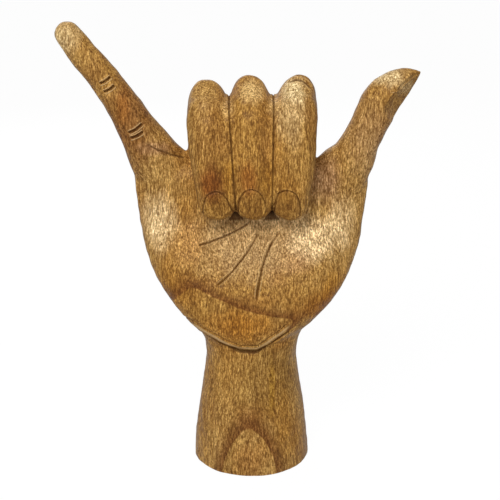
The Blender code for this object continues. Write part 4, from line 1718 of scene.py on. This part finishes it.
@dataclass
class Studio:
    """White sweep, soft lamps and the camera at the photograph's angle."""

    camera_place: Triple = (-0.001, -0.715, 0.376)
    camera_pitch: float = 17.68
    lens: float = 80.53
    sensor: float = 36.0
    floor_half: float = 6.0
    floor_colour: tuple[float, ...] = (0.7, 0.7, 0.7, 1.0)
    floor_roughness: float = 0.9
    floor_shine: float = 0.1
    white: tuple[float, ...] = (1.0, 1.0, 1.0, 1.0)
    white_strength: float = 1.05
    whiteness: float = 0.92
    skylight: float = 0.22
    target: Triple = (0.0, 0.0, 0.16)
    lamps: tuple[Lamp, ...] = (Lamp("key", (-0.28, -0.95, 1.02), 0.5, 10.2),
                               Lamp("fill", (0.75, -0.75, 0.65), 0.8, 1.5),
                               Lamp("back", (-0.35, 1.0, 0.7), 0.8, 4.0))

    def build_camera(self) -> None:
        """Put up the camera."""
        data = bpy.data.cameras.new("camera")
        data.lens = self.lens
        data.sensor_width = self.sensor
        camera = placed("camera", data)
        camera.location = self.camera_place
        camera.rotation_euler = Euler((math.radians(90.0 - self.camera_pitch), 0.0, 0.0))
        bpy.context.scene.camera = camera

    def build_floor(self) -> None:
        """Lay a pale floor that keeps the hand's shadow and is white to the camera far off."""
        half = self.floor_half
        points = np.array([(-half, -half, 0.0), (half, -half, 0.0), (half, half, 0.0), (-half, half, 0.0)])
        floor = placed("floor", mesh_from_arrays("floor", points, np.array([[0, 1, 2, 3]])))
        made = bpy.data.materials.new("white_sweep")
        made.use_nodes = True
        graph = Graph(made.node_tree)
        shader = made.node_tree.nodes["Principled BSDF"]
        for name, value in (("Base Color", self.floor_colour), ("Roughness", self.floor_roughness),
                            ("Specular IOR Level", self.floor_shine)):
            graph.feed(shader.inputs[name], value)
        white = graph.node("ShaderNodeEmission", {"Color": self.white, "Strength": self.white_strength})
        share = graph.times(self.seen(graph), self.whiteness)
        mixed = graph.node("ShaderNodeMixShader", {0: share, 1: shader.outputs[0], 2: white.outputs[0]})
        graph.feed(made.node_tree.nodes["Material Output"].inputs["Surface"], mixed.outputs[0])
        floor.data.materials.append(made)

    def seen(self, graph: Graph) -> Socket:
        """1 where the camera, a reflection or a clear body looks, 0 where light is scattered."""
        path = graph.node("ShaderNodeLightPath")
        looks = graph.math("MAXIMUM", path.outputs["Is Camera Ray"], path.outputs["Is Glossy Ray"])
        return graph.math("MAXIMUM", looks, path.outputs["Is Transmission Ray"])

    def build_world(self) -> None:
        """Even white surroundings, at full strength only where the camera or a reflection sees them."""
        world = bpy.data.worlds.new("studio")
        bpy.context.scene.world = world
        world.use_nodes = True
        graph = Graph(world.node_tree)
        ground = world.node_tree.nodes["Background"]
        graph.feed(ground.inputs["Color"], self.white)
        strength = graph.node("ShaderNodeMapRange",
                              {0: self.seen(graph), 1: 0.0, 2: 1.0, 3: self.skylight, 4: 1.0})
        graph.feed(ground.inputs["Strength"], strength.outputs[0])

    def build(self) -> None:
        """Put up the whole studio."""
        self.build_camera()
        self.build_floor()
        self.build_world()
        for lamp in self.lamps:
            lamp.hang(self.target)
        bpy.context.scene.view_settings.view_transform = "Standard"


@dataclass
class CarvedHand:
    """The whole sculpture: its forms, its carving, its division and its finish."""

    voxel: float = 1.1
    soften_rounds: int = 10
    crisp_drop: float = 3.0
    crisp_gaps: Pair = (1.5, 5.0)
    crisp_share: float = 0.2
    body: WristAndPalm = field(default_factory=WristAndPalm)

    def held_out(self) -> list[HeldOutFinger]:
        """Little finger and thumb, with their rows of reach, rise, radius and depth shares."""
        little = HeldOutFinger(
            -1, self.body, root_inset=25.5, root_drop=3.0, root_radius=24.0, root_back=3.0,
            reach=63.6, rise=95.9, tip_front=2.0,
            rows=((0.0, 0.0, 0.84, 0.58), (0.137, 0.127, 0.760, 0.70), (0.229, 0.229, 0.680, 0.81),
                  (0.280, 0.291, 0.612, 0.88), (0.332, 0.351, 0.562, 0.92), (0.423, 0.462, 0.495, 0.96),
                  (0.522, 0.571, 0.449, 0.98), (0.630, 0.679, 0.421, 1.0), (0.754, 0.787, 0.405, 1.0),
                  (0.883, 0.894, 0.388, 0.98), (1.010, 1.010, 0.346, 0.98)))
        thumb = HeldOutFinger(
            1, self.body, root_inset=25.5, root_drop=8.0, root_radius=24.0, root_back=0.0,
            reach=51.5, rise=77.0, tip_front=5.0,
            rows=((0.0, 0.0, 0.90, 0.48), (0.152, 0.174, 0.756, 0.68), (0.271, 0.285, 0.622, 0.86),
                  (0.332, 0.379, 0.550, 0.93), (0.410, 0.494, 0.506, 1.0), (0.495, 0.621, 0.514, 0.97),
                  (0.604, 0.776, 0.537, 0.92), (0.747, 0.878, 0.484, 0.92), (0.889, 0.948, 0.363, 0.95),
                  (0.985, 0.984, 0.230, 0.97), (1.057, 1.004, 0.085, 1.0)))
        return [little, thumb]

    def soften(self, skin: Skin, fingers: CurledFingers) -> None:
        """Soften the junctions of the forms, but hold the grooves between the fingers crisp."""
        x, _, z = skin.points.T
        gap = fingers.seam_gap(x, z)
        inner, outer = self.crisp_gaps
        crisp = (z > fingers.tip_height() - self.crisp_drop) & (gap < outer)
        weight = np.where(crisp, blend(self.crisp_share, 1.0, soft_step(gap, inner, outer)), 1.0)
        skin.relax(self.soften_rounds, weight)

    def build(self) -> None:
        """Carve the block, divide it, and put each piece under the root body in place of its node, which is
        hidden.
        """
        fingers = CurledFingers(self.body)
        forms = self.body.forms() + fingers.forms()
        for finger in self.held_out():
            forms += finger.forms()
        skin = Skin.blended(forms, self.voxel)
        log.info("blended skin: %d points, %d triangles", len(skin.points), len(skin.triangles))
        self.soften(skin, fingers)
        carving = Carving(self.body, fingers)
        carving.refine(skin)
        depth = carving.cut(skin)
        log.info("carved skin: %d points, %d triangles", len(skin.points), len(skin.triangles))
        mesh = mesh_from_arrays("block", skin.points * MM, skin.triangles)
        # The depth attribute carries the cuts and the painted shade of the thumb's flat and the fingertips'
        # gaps.
        for name, values in (("cut_depth_and_painted_shade", depth), ("over_crease", carving.crease_gap(skin))):
            mesh.attributes.new(name, "FLOAT", "POINT").data.foreach_set("value", values.astype(np.float32))
        block = placed("block", mesh)
        wood = OiledWood().build()
        for node, piece in Division(self.body, fingers).divide(block).items():
            piece.data.materials.clear()
            piece.data.materials.append(wood)
            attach(piece, "root")
            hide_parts(node)
            log.info("%s: %d faces", piece.name, len(piece.data.polygons))
        bpy.data.objects.remove(block, do_unlink=True)


def main() -> None:
    """Build the hand and its studio."""
    logging.basicConfig(level=logging.INFO, format="%(message)s")
    CarvedHand().build()
    Studio().build()


if __name__ == "__main__":
    main()
